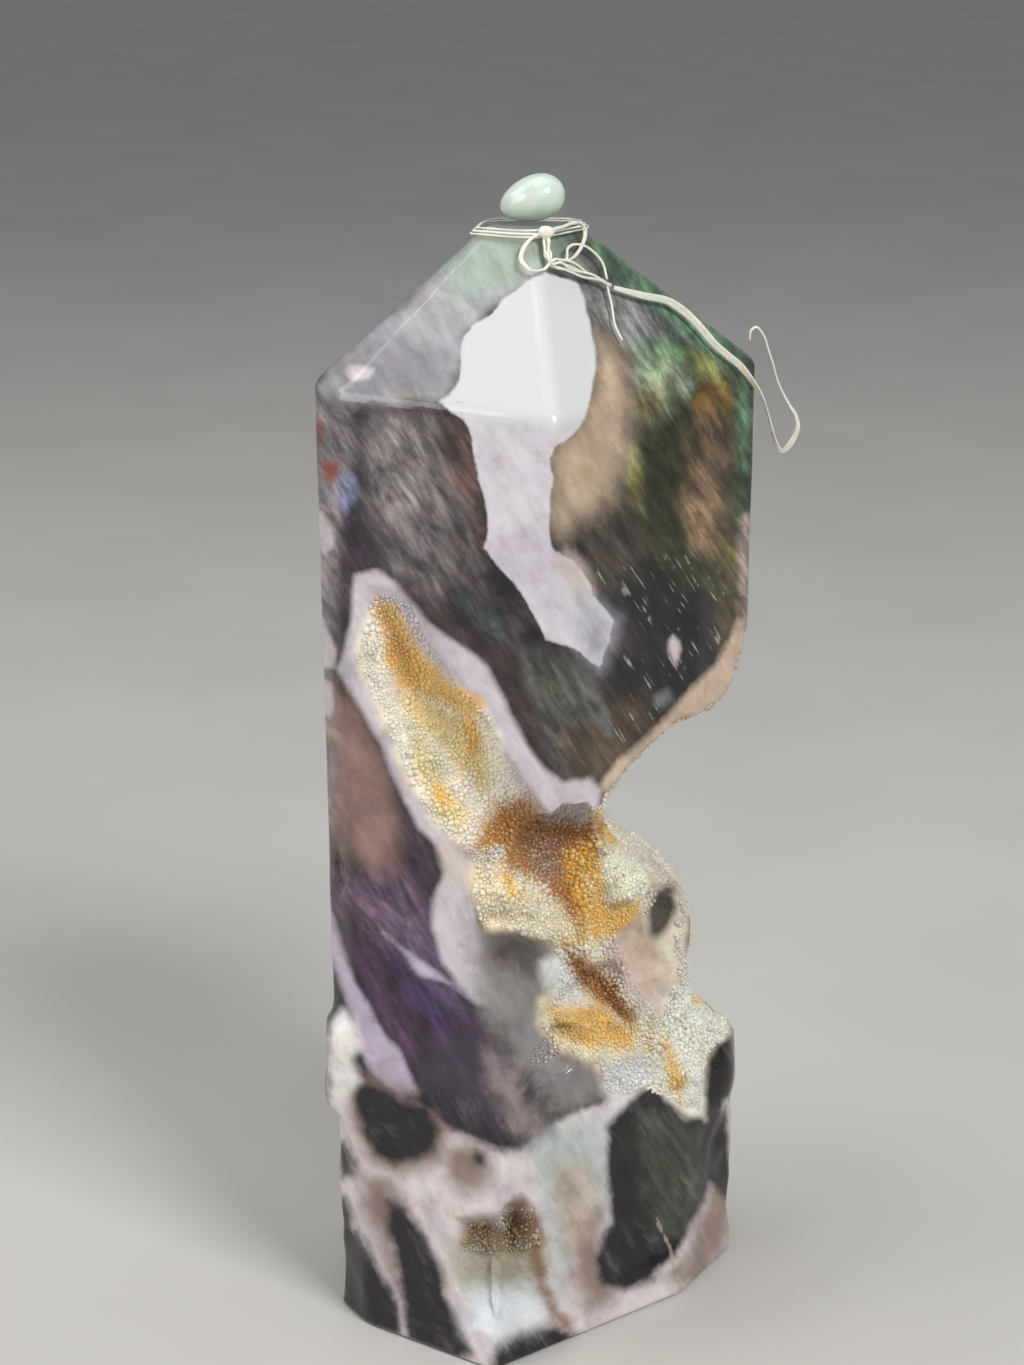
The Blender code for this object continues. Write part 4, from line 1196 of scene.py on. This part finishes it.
def markingValues(places, depth):
    # for each marking, how far inside it each place lies, in mm
    plan = markingPlan
    pixels = photoPixels(places)
    share = np.clip((frontness(places) - plan["fadeFrom"]) / (plan["fadeTo"] - plan["fadeFrom"]), 0, 1)
    bent = hiddenBend(places)
    values = {}
    for name, marking in markings.items():
        deep, outlines = marking[4:]
        best = np.full(len(places), plan["farOutside"])
        for outline in outlines:
            best = np.maximum(best, outlineDistance(pixels, outline) / plan["pixelsPerMm"])
        best = best * share + plan["farOutside"] * (1 - share)
        if name in hiddenMarkings:
            hidden = hiddenDistance(places, hiddenMarkings[name], bent)
            best = np.maximum(best, hidden * (1 - share) + plan["farOutside"] * share)
        if not deep:
            best = best - np.maximum(depth - plan["hollowDepth"], 0) * plan["hollowLoss"]
        values[name] = best
    return values


def deepMarkings():
    # the markings that run on into the hollows, and so over the crystals
    return [name for name, marking in markings.items() if marking[4]]


def seenPlaces(places):
    # flat coordinates in metres: as the camera sees the front, and unrolled round the hidden sides
    plan = markingPlan
    pixels = photoPixels(places) / plan["pixelsPerMm"]
    turn = np.arctan2(places[:, 0] - plan["middle"][0], plan["middle"][1] - places[:, 1]) % (2 * math.pi)
    share = np.clip((frontness(places) - plan["fadeFrom"]) / (plan["fadeTo"] - plan["fadeFrom"]), 0, 1)
    across = np.where(share > 0.5, pixels[:, 0], turn * plan["radius"])
    down = np.where(share > 0.5, pixels[:, 1], -places[:, 2])
    return {"seenAcross": across * mm, "seenDown": down * mm, "evenSeen": np.abs(share - 0.5) * 2}


def storeValues(mesh, values):
    for name, numbers in values.items():
        layer = mesh.attributes.new(name, "FLOAT", "POINT")
        layer.data.foreach_set("value", np.asarray(numbers, np.float32))


# Stone finish

agate = {
    "base": (80, 72, 75),
    "baseShade": (47, 42, 46),
    "bed": (222, 208, 184),           # the crystal bed in the hollows, under the crystals
    "bedShade": (176, 146, 108),
    "roughness": 0.05,
    "roughBed": 0.5,
    "roughLow": 0.16,                  # added below the waist
    "streakTurn": -32,                 # the grain runs down to the right
    "streakStretch": (1.0, 6.5),
    "featherStretch": (1.0, 2.6),
    "threadStretch": (0.45, 4.5),
    "blackVeil": (112, 104, 108),
    "thread": (172, 178, 172),         # fine pale threads along the grain
    "warmCast": (214, 184, 160),
    "coolCast": (214, 210, 226),
    "lastSmoky": "notchBrown",         # the markings up to this one carry the smoky grain
    "ior": 1.54,
    "gloss": 0.45,
    "glow": 0.12,
    "spread": (0.9, 0.7, 0.55),
}


def paintMarkings(shader, colour, wander, names, toned=stoneTint):
    # lays each named marking over the colour; wander is a list of noises of different grain
    for index, name in enumerate(names):
        shade, soft, stray, strength = markings[name][:4]
        grain = wander[index % len(wander)]
        value = shader.math("ADD", shader.attribute(name), shader.math("MULTIPLY", grain, 2 * stray))
        value = shader.step(value, stray - soft, stray + soft)
        colour = shader.mix(shader.math("MULTIPLY", value, strength), colour, toned(*shade))
    return colour


def stoneFinish():
    shader = Shader("polishedMossAgate")
    wander = [shader.noise(5.0, 5.0, 0.6), shader.noise(2.6, 5.0, 0.62), shader.noise(7.0, 6.0, 0.62)]
    grainPlace = shader.seen(agate["streakStretch"], agate["streakTurn"])
    featherPlace = shader.seen(agate["featherStretch"], agate["streakTurn"])
    threadPlace = shader.seen(agate["threadStretch"], agate["streakTurn"])
    even = shader.attribute("evenSeen")
    streaks = shader.noise(0.7, 5.0, 0.66, where=grainPlace)
    feathers = shader.noise(2.4, 6.0, 0.62, 0.4, where=featherPlace)
    cloud = shader.noise(7.5, 5.0, 0.62, 0.5)
    patches = shader.noise(3.6, 5.0, 0.6, 0.3)
    names = list(markings)
    last = names.index(agate["lastSmoky"]) + 1
    # the dark, smoky and mossy stone, with its grain
    clouded = shader.step(cloud, 0.36, 0.62)
    colour = shader.mix(clouded, stoneTint(*agate["baseShade"]), stoneTint(*agate["base"]))
    colour = paintMarkings(shader, colour, wander, names[:last])
    softFeathers, softStreaks = shader.step(feathers, 0.3, 0.7), shader.step(streaks, 0.3, 0.7)
    firmStreaks = shader.step(streaks, 0.32, 0.68)
    colour = shader.grain(shader.math("MULTIPLY", even, 0.5), colour, softFeathers)
    colour = shader.grain(shader.math("MULTIPLY", even, 0.34), colour, firmStreaks)
    threads = shader.step(shader.noise(0.8, 0.0, 0.0, where=threadPlace), 0.6, 0.72)
    threads = shader.math("MULTIPLY", threads, shader.step(patches, 0.48, 0.6))
    threads = shader.math("MULTIPLY", threads, shader.step(shader.attribute("blackField"), -1.0, 1.5))
    threads = shader.math("MULTIPLY", threads, even)
    colour = shader.mix(shader.math("MULTIPLY", threads, 0.7), colour, stoneTint(*agate["thread"]))
    # the crystal bed, and the milky and clear-cut markings over it
    bedCloud = shader.step(shader.noise(3.2, 4.0, 0.6), 0.38, 0.62)
    bed = shader.mix(bedCloud, stoneTint(*agate["bedShade"]), stoneTint(*agate["bed"]))
    inBed = shader.step(shader.attribute("depth"), 0.35, 1.1)
    rawness = shader.step(shader.attribute("raw"), 0.0, 0.8)
    ground = shader.math("MAXIMUM", inBed, rawness)
    colour = shader.mix(ground, colour, bed)
    colour = paintMarkings(shader, colour, wander, names[last:])
    # the black blotches near the foot, with a clouded grain
    black = shader.math("MAXIMUM", shader.step(shader.attribute("blobBlack"), 0.0, 1.0),
                        shader.step(shader.attribute("rightBlack"), 0.0, 1.0))
    veil = shader.math("MULTIPLY", shader.math("MULTIPLY", black, shader.step(feathers, 0.5, 0.72)), 0.34)
    colour = shader.mix(veil, colour, stoneTint(*agate["blackVeil"]))
    colour = shader.grain(shader.math("MULTIPLY", black, 0.45), colour, firmStreaks)
    # tints that wander over the milky stone, and its fainter grain
    plain = shader.math("MULTIPLY", shader.step(shader.attribute("brightWhite"), 0.5, -1.0), even)
    warm = shader.math("MULTIPLY", shader.math("MULTIPLY", shader.step(patches, 0.5, 0.68), plain), 0.3)
    colour = shader.mix(warm, colour, shader.blend("MULTIPLY", 1.0, colour, tint(*agate["warmCast"])))
    cool = shader.math("MULTIPLY", shader.math("MULTIPLY", shader.step(cloud, 0.5, 0.36), plain), 0.35)
    colour = shader.mix(cool, colour, shader.blend("MULTIPLY", 1.0, colour, tint(*agate["coolCast"])))
    colour = shader.grain(shader.math("MULTIPLY", plain, 0.05), colour, softStreaks)
    colour = shader.grain(shader.math("MULTIPLY", plain, 0.16), colour, softFeathers)
    wear = shader.step(shader.noise(9.0, 4.0, 0.6), 0.5, 0.75)
    rough = shader.math("ADD", shader.math("MULTIPLY", wear, 0.07), agate["roughness"])
    rough = shader.math("ADD", rough, shader.math("MULTIPLY", ground, agate["roughBed"]))
    height = shader.add("ShaderNodeSeparateXYZ")
    shader.links.new(shader.place(), height.inputs["Vector"])
    low = shader.step(height.outputs["Z"], 0.052, 0.03)
    rough = shader.math("ADD", rough, shader.math("MULTIPLY", low, agate["roughLow"]))
    grit = shader.noise(0.55, 4.0, 0.65)
    normal = shader.bump(shader.math("MULTIPLY", grit, ground), 0.6, 0.35)
    normal = shader.bump(shader.noise(2.2, 3.0, 0.5), 0.08, 0.1, normal)
    return shader.set(colour=colour, roughness=rough, normal=normal, ior=agate["ior"], gloss=agate["gloss"],
                      glow=agate["glow"], spread=agate["spread"], spreadScale=1.0 * mm)


# Crystals: six-sided points that line the hollows

crystals = {
    "spacing": 0.376,
    "tries": 5,                       # places drawn for each one that the spacing leaves room for
    "cell": 1.2,                      # the search for near ones looks through cubes of this size
    "patchSize": 3.2,                 # fine and coarse patches, and the sizes between them
    "sizeFrom": 0.6,
    "sizeRange": 0.75,
    "radius": (0.22, 0.52),
    "height": (0.55, 1.15),
    "lean": 0.3,
    "sunk": 0.52,
    "seed": 11,
    "fromDepth": 0.5,
    "fromRaw": 0.4,
    "nodes": {"druzyMain": ("druzy_crust_main",), "druzyTrough": (), "druzyLower": ("druzy_crust_lower",),
              "druzyFoot": ("druzy_crust_foot",)},
    "troughFrom": 62,
    "troughZone": (3.0, 10.0),        # the trough's crystals lie left of this x and within this reach of it
    "bare": {"footWhite": -0.4, "footOlive": 0.5, "leftLump": -1.0},
    "zoneBalls": {"druzyLower": ("lowerRight", "lowerLeft"), "druzyFoot": ("foot",)},
    "zoneReach": 1.08,
    "zoneSize": {"druzyMain": 1.0, "druzyTrough": 0.9, "druzyLower": 0.95, "druzyFoot": 0.5},
    "lively": ("highlightLump", "creamWall", "creamLump", "goldFleck"),
    "calm": {"greyMass": 1.3, "greyFloor": 0.3, "eyeHoleShade": -0.3, "softShade": 0.0, "fawnFloor": 0.4},
    "pale": (252, 242, 222),
    "amber": (238, 196, 116),
    "glint": (255, 244, 220),
    # the warm dark that each crystal fades to at its foot: painted shade where the crystals crowd together
    "root": (206, 158, 98),
    "clearness": 0.1,
    "roughness": 0.22,
    "ior": 1.54,
    "glow": 0.6,
    "spread": (1.0, 0.94, 0.82),
}


def crystalShape():
    # one six-sided point with a slanted tip, 1 in radius and 1 tall, standing on the origin
    deselectAll()
    bpy.ops.mesh.primitive_cylinder_add(vertices=6, radius=1, depth=0.5, location=(0, 0, 0.25),
                                        end_fill_type="NGON")
    piece = named(bpy.context.object, "crystalShape")
    bpy.ops.object.transform_apply(location=True, rotation=True, scale=True)
    selectFaces(piece, lambda face: face.normal.z > 0.9)
    bpy.ops.mesh.extrude_region_move(TRANSFORM_OT_translate={"value": (0.14, 0.07, 0.5)})
    bpy.ops.mesh.merge(type="CENTER")
    leaveEdit()
    corners = np.empty(len(piece.data.vertices) * 3)
    piece.data.vertices.foreach_get("co", corners)
    work = bmesh.new()
    work.from_mesh(piece.data)
    bmesh.ops.triangulate(work, faces=work.faces)
    faces = np.array([[vertex.index for vertex in face.verts] for face in work.faces])
    work.free()
    bpy.data.objects.remove(piece, do_unlink=True)
    return corners.reshape(-1, 3), faces


def crystalSeats(tower, depth, raw, values):
    # places and directions for the crystals, spread evenly over the hollows and the raw ground
    mesh = tower.data
    places = positions(mesh)
    normals = normalsOf(mesh)
    corners = np.empty(len(mesh.polygons) * 3, int)
    mesh.polygons.foreach_get("vertices", corners)
    corners = corners.reshape(-1, 3)
    calm = np.full(len(places), -9.0)
    for name, margin in crystals["calm"].items():
        calm = np.maximum(calm, values[name] - margin)
    for name in crystals["lively"]:
        calm = np.minimum(calm, -values[name])
    low = lowShare(places)
    deep = crystals["fromDepth"] + low * stone["lowWaveHeight"] * 2.4
    fit = ((depth > deep) | (raw > crystals["fromRaw"])) & (places[:, 2] > 2)
    fit &= (calm < 0) | (depth > 2.4)
    for name, margin in crystals["bare"].items():
        fit &= values[name] < margin
    for centre, radii, seed in pits:
        fit &= np.linalg.norm((places - np.array(centre)) / np.array(radii), axis=1) > 1.4
    corners = corners[fit[corners].all(axis=1)]
    a, b, c = (places[corners[:, k]] for k in range(3))
    area = np.linalg.norm(np.cross(b - a, c - a), axis=1) / 2
    chance = np.random.default_rng(crystals["seed"])
    count = int(area.sum() / crystals["spacing"] ** 2 * crystals["tries"])
    chosen = chance.choice(len(corners), count, p=area / area.sum())
    u, v = chance.random(count), chance.random(count)
    over = u + v > 1
    u[over], v[over] = 1 - u[over], 1 - v[over]
    w = 1 - u - v
    triangles = corners[chosen]
    spots = places[triangles[:, 0]] * w[:, None] + places[triangles[:, 1]] * u[:, None]
    spots += places[triangles[:, 2]] * v[:, None]
    facing = normals[triangles].mean(axis=1)
    kept, cells = [], {}
    for index, spot in enumerate(spots):
        patch = noise.noise(Vector(spot) / crystals["patchSize"]) + 0.55
        size = crystals["sizeFrom"] + crystals["sizeRange"] * patch
        gap = crystals["spacing"] * size
        cell = tuple(int(value // crystals["cell"]) for value in spot)
        near = (cells.get((cell[0] + i, cell[1] + j, cell[2] + k), ()) for i in (-1, 0, 1)
                for j in (-1, 0, 1) for k in (-1, 0, 1))
        if any(abs(other[0] - spot[0]) < gap and math.dist(other, spot) < gap
               for group in near for other in group):
            continue
        cells.setdefault(cell, []).append(tuple(spot))
        kept.append((index, size))
    order = [index for index, size in kept]
    return spots[order], facing[order], np.array([size for index, size in kept])


def zoneOf(spots):
    # which crystal lining each spot belongs to
    zones = np.full(len(spots), "druzyMain", dtype=object)
    for name, balls in crystals["zoneBalls"].items():
        for ball in balls:
            centre, radii, seed = hollows["balls"][ball]
            reach = np.linalg.norm((spots - np.array(centre)) / np.array(radii), axis=1)
            zones[(reach < crystals["zoneReach"]) & (zones == "druzyMain")] = name
    route = np.array([knot[:3] for knot in smoothRoute(hollows["trough"], 4)])
    away = np.linalg.norm(spots[:, None, :] - route[None], axis=2).min(axis=1)
    limit, reach = crystals["troughZone"]
    inTrough = (away < reach) & (spots[:, 2] > crystals["troughFrom"]) & (zones == "druzyMain")
    zones[inTrough & (spots[:, 0] < limit)] = "druzyTrough"
    return zones


def growCrystals(name, spots, facing, sizes, material, chance):
    # one mesh of crystals that stand on the spots and lean a little off the way that the spots face
    shape, faces = crystalShape()
    count = len(spots)
    lean = chance.normal(0, crystals["lean"], (count, 3))
    up = facing + lean
    up /= np.linalg.norm(up, axis=1)[:, None]
    side = np.cross(up, chance.normal(0, 1, (count, 3)))
    side /= np.linalg.norm(side, axis=1)[:, None]
    other = np.cross(up, side)
    low, high = crystals["radius"]
    radius = (low + (high - low) * chance.random(count) ** 2) * sizes
    low, high = crystals["height"]
    height = (low + (high - low) * chance.random(count)) * sizes
    base = spots - up * (height * crystals["sunk"])[:, None]
    places = (base[:, None] + side[:, None] * (shape[None, :, 0:1] * radius[:, None, None])
              + other[:, None] * (shape[None, :, 1:2] * radius[:, None, None])
              + up[:, None] * (shape[None, :, 2:3] * height[:, None, None]))
    mesh = bpy.data.meshes.new(name)
    mesh.vertices.add(count * len(shape))
    mesh.vertices.foreach_set("co", (places * mm).ravel())
    corners = (faces[None] + (np.arange(count) * len(shape))[:, None, None]).reshape(-1, 3)
    mesh.loops.add(corners.size)
    mesh.loops.foreach_set("vertex_index", corners.ravel())
    mesh.polygons.add(len(corners))
    mesh.polygons.foreach_set("loop_start", np.arange(0, corners.size, 3))
    mesh.update(calc_edges=True)
    mesh.validate()
    values = markingValues(spots, np.full(count, 1.5))
    spread = {name: np.repeat(values[name], len(shape)) for name in deepMarkings()}
    spread["chance"] = np.repeat(chance.random(count), len(shape))
    spread["along"] = np.tile(shape[:, 2], count)
    storeValues(mesh, spread)
    piece = bpy.data.objects.new(name, mesh)
    bpy.context.scene.collection.objects.link(piece)
    mesh.materials.append(material)
    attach(piece, "root")
    for node in crystals["nodes"][name]:
        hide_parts(node)
    report("%s, %d crystals, %d faces" % (name, count, len(mesh.polygons)))


def crystalFinish():
    shader = Shader("druzyCrystal")
    wander = [shader.noise(5.5, 4.0, 0.55), shader.noise(3.4, 4.0, 0.6), shader.noise(8.0, 5.0, 0.6)]
    chance = shader.attribute("chance")
    stain = shader.step(shader.noise(4.0, 4.0, 0.6), 0.46, 0.66)
    colour = shader.mix(stain, tint(*crystals["pale"]), tint(*crystals["amber"]))
    colour = paintMarkings(shader, colour, wander, deepMarkings(), toned=tint)
    lighter = shader.math("MULTIPLY", shader.step(chance, 0.2, 1.0), 0.5)
    colour = shader.mix(lighter, colour, shader.blend("SCREEN", 0.3, colour, tint(*crystals["glint"])))
    # painted shade with a warm tint: each crystal darkens towards its foot, between its neighbours
    root = shader.step(shader.attribute("along"), 0.6, 0.1)
    colour = shader.mix(shader.math("MULTIPLY", root, 0.15), colour, tint(*crystals["root"]))
    return shader.set(colour=colour, roughness=crystals["roughness"], ior=crystals["ior"],
                      clear=crystals["clearness"], glow=crystals["glow"], spread=crystals["spread"],
                      spreadScale=0.9 * mm)


def growAllCrystals(tower, depth, raw, values):
    spots, facing, sizes = crystalSeats(tower, depth, raw, values)
    zones = zoneOf(spots)
    material = crystalFinish()
    chance = np.random.default_rng(crystals["seed"] + 1)
    for name in crystals["nodes"]:
        own = zones == name
        size = sizes[own] * crystals["zoneSize"][name]
        growCrystals(name, spots[own], facing[own], size, material, chance)


# Ribbon: the part tied round the tip, as fine threads and loops

tie = {
    "bandDrop": 0.3,
    "bandOffset": 0.75,
    "bandThreads": [(0.0, 0.13, 0.0), (0.34, 0.1, 0.03), (-0.3, 0.1, 0.03)],     # height, radius, swell
    "knotCentre": (0.1, -5.9, 134.7),
    "knotRadii": (0.85, 0.62, 0.75),
    # threads of each strand, how far they stray from it, and their radius
    "strands": {
        "bunch": (5, 0.34, 0.13, [(0.1, -5.8, 134.7), (0.1, -6.4, 133.7), (0.25, -7.4, 132.6),
                                  (0.5, -8.3, 131.7)]),
        "leftLoop": (2, 0.12, 0.13, [(-0.2, -5.9, 134.7), (-1, -6.1, 134.4), (-1.9, -6.6, 133.8),
                                     (-2.6, -7.3, 132.8), (-2.6, -8.2, 131.8), (-1.6, -9.2, 131),
                                     (-0.2, -9, 131.1), (0.5, -8.3, 131.7)]),
        "rightLoop": (2, 0.1, 0.13, [(0.4, -5.7, 134.8), (1.9, -4.2, 135.1), (3.6, -2.2, 135.3),
                                     (4.5, -1.5, 134.3), (4.2, -2.6, 132.9), (3.2, -4.6, 131.8),
                                     (1.8, -6.8, 131.5)]),
        "smallLoop": (1, 0.0, 0.15, [(1.8, -6.8, 131.5), (2.4, -5.6, 131.8), (2.5, -4.6, 132.7),
                                     (3.3, -3.3, 133), (4.8, -2.2, 132.5), (6.4, -1.9, 130.9),
                                     (7, -2.8, 129)]),
        "run": (5, 0.42, 0.14, [(0.5, -8.3, 131.7), (1.6, -7.4, 131.4), (4.5, -5.1, 130),
                                (7.4, -3.2, 128.3)]),
        "looseEnd": (1, 0.0, 0.14, [(7, -3.5, 128.4), (7.5, -5, 126.3), (7.8, -6.5, 124.5),
                                    (8.6, -7.3, 122.9)]),
    },
}


def bandRing(height):
    # the route of a band thread, height mm above the band's middle
    level = (tie["bandDrop"] - height) / (stone["tipHeight"] - stone["shoulderHeight"])
    centre = Vector((*stone["tipCentre"], 0))
    ring = []
    for upper, lower in zip(tipRing(), stoneRing(1.0)):
        place = Vector(upper).lerp(Vector(lower), level)
        outward = (place - centre) * Vector((1, 1, 0))
        ring.append(place + outward.normalized() * tie["bandOffset"])
    return smoothRoute(ring + ring[:3], 6)[6:6 + 6 * len(ring)]


def makeRibbonTie(material):
    threads = []
    for height, radius, swell in tie["bandThreads"]:
        ring = bandRing(height)
        radii = [radius + swell * math.sin(index * 1.3) for index in range(len(ring))]
        threads.append(addTube("band", ring, radii, 2, closed=True))
    for name, (count, stray, radius, points) in tie["strands"].items():
        route = smoothRoute(points, 6)
        for index in range(count):
            angle = 2 * math.pi * index / count
            places = []
            for step, place in enumerate(route):
                spread = math.sin(math.pi * step / (len(route) - 1)) ** 0.5 * stray
                drift = noise.noise(Vector((step * 0.21, index * 3.7, len(points) * 1.9))) * stray
                across = Vector((math.cos(angle) * spread + drift * 0.5, 0.4 * math.sin(angle) * spread,
                                 math.sin(angle) * spread + drift))
                places.append(Vector(place) + across)
            threads.append(addTube(name, places, [radius] * len(places), 2))
    deselectAll()
    bpy.ops.mesh.primitive_ico_sphere_add(subdivisions=4, radius=mm, location=Vector(tie["knotCentre"]) * mm)
    knot = named(bpy.context.object, "knot")
    knot.scale = tie["knotRadii"]
    bpy.ops.object.transform_apply(location=True, rotation=True, scale=True)
    threads.append(lumpy(knot, 11, height=0.14, size=1.1))
    piece = joined("ribbonTie", threads)
    piece.data.materials.clear()
    piece.data.materials.append(material)
    bpy.ops.object.shade_smooth()
    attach(piece, "root")
    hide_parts("ribbon_tie")
    report("ribbon tie, %d threads" % len(threads))


# Bead: a polished drop, fuller at its right end

bead = {
    "centre": (-1.4, -0.4, 137.7),
    "radii": (3.75, 2.9, 2.55),
    "tilt": -17,
    "fullness": 0.16,
    "clear": (212, 230, 216),
    "milk": (232, 241, 231),
    "speck": (206, 222, 204),
    "clearness": 0.25,
    "roughness": 0.05,
    "ior": 1.5,
    "glow": 0.8,
    "coat": 0.4,
}


def beadFinish():
    # pale green glassy stone with a milky cloud inside
    shader = Shader("paleGreenBead")
    cloud = shader.step(shader.noise(2.2, 3.0, 0.5, 0.4), 0.3, 0.7)
    colour = shader.mix(cloud, tint(*bead["clear"]), tint(*bead["milk"]))
    speck = shader.step(shader.noise(0.7, 4.0, 0.6), 0.62, 0.76)
    colour = shader.mix(shader.math("MULTIPLY", speck, 0.25), colour, tint(*bead["speck"]))
    return shader.set(colour=colour, roughness=bead["roughness"], clear=bead["clearness"], ior=bead["ior"],
                      glow=bead["glow"], spread=(0.95, 1.0, 0.9), spreadScale=2.0 * mm, coat=bead["coat"],
                      coatRoughness=0.03)


def makeBead(material):
    deselectAll()
    bpy.ops.mesh.primitive_uv_sphere_add(segments=64, ring_count=40, radius=1, location=(0, 0, 0))
    piece = named(bpy.context.object, "dropBead")
    turn = Matrix.Rotation(math.radians(bead["tilt"]), 3, "Y")
    for vertex in piece.data.vertices:
        full = 1 + bead["fullness"] * vertex.co.x
        shape = Vector((vertex.co.x * bead["radii"][0], vertex.co.y * bead["radii"][1] * full,
                        vertex.co.z * bead["radii"][2] * full))
        vertex.co = (turn @ shape + Vector(bead["centre"])) * mm
    piece.data.materials.append(material)
    bpy.ops.object.shade_smooth()
    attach(piece, "root")
    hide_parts("bead")
    report("bead")


# Floor and lights

studio = {
    "floorRadius": 20000,
    # place, size and power of each soft lamp, aimed at the middle of the stone
    "lamps": {"key": ((330, -420, 560), 240, 3.9), "fill": ((-520, -330, 300), 420, 1.5),
              "top": ((-60, 80, 640), 420, 0.8), "veil": ((-430, -20, 520), 300, 0.7)},
    "aim": (0, 0, 70),
    "sky": 0.28,
    "skyColour": (0.92, 0.95, 1.0, 1),
    "floor": ((192, 189, 183), (197, 194, 188)),
}


def makeFloor():
    deselectAll()
    bpy.ops.mesh.primitive_circle_add(vertices=96, radius=studio["floorRadius"] * mm, fill_type="NGON",
                                      location=(0, 0, -0.02 * mm))
    floor = named(bpy.context.object, "studioFloor")
    shader = Shader("paleFloor")
    grain = shader.step(shader.noise(60), 0.3, 0.7)
    colour = shader.mix(grain, *(tint(*shade) for shade in studio["floor"]))
    floor.data.materials.append(shader.set(colour=colour, roughness=0.7))


def makeLights():
    aim = Vector(studio["aim"]) * mm
    for name, (place, size, power) in studio["lamps"].items():
        place = Vector(place) * mm
        bpy.ops.object.light_add(type="AREA", location=place)
        lamp = named(bpy.context.object, name + "Lamp")
        lamp.data.shape = "SQUARE"
        lamp.data.size = size * mm
        lamp.data.energy = power
        lamp.rotation_euler = (aim - place).to_track_quat("-Z", "Y").to_euler()
    world = bpy.data.worlds.new("paleRoom")
    world.use_nodes = True
    background = world.node_tree.nodes["Background"]
    background.inputs["Color"].default_value = studio["skyColour"]
    background.inputs["Strength"].default_value = studio["sky"]
    bpy.context.scene.world = world
    bpy.context.scene.view_settings.view_transform = "Standard"
    report("floor and lights")


def makeStone():
    tower, envelope = buildStone()
    places = positions(tower.data)
    depth = signedDepth(places, envelope)[0]
    raw = groundDistance(places, crystalGround)
    values = markingValues(places, depth)
    values["depth"] = depth
    values["raw"] = raw
    values.update(seenPlaces(places))
    storeValues(tower.data, values)
    activate(tower)
    bpy.ops.object.shade_smooth_by_angle(angle=math.radians(40))
    tower.data.materials.clear()
    tower.data.materials.append(stoneFinish())
    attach(tower, "root")
    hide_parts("tower")
    report("stone painted, %d faces" % len(tower.data.polygons))
    growAllCrystals(tower, depth, raw, values)


def main():
    placeCamera()
    ribbon = ribbonFinish()
    makeRibbonTail(ribbon)
    makeRibbonTie(ribbon)
    makeBead(beadFinish())
    makeStone()
    makeFloor()
    makeLights()


main()
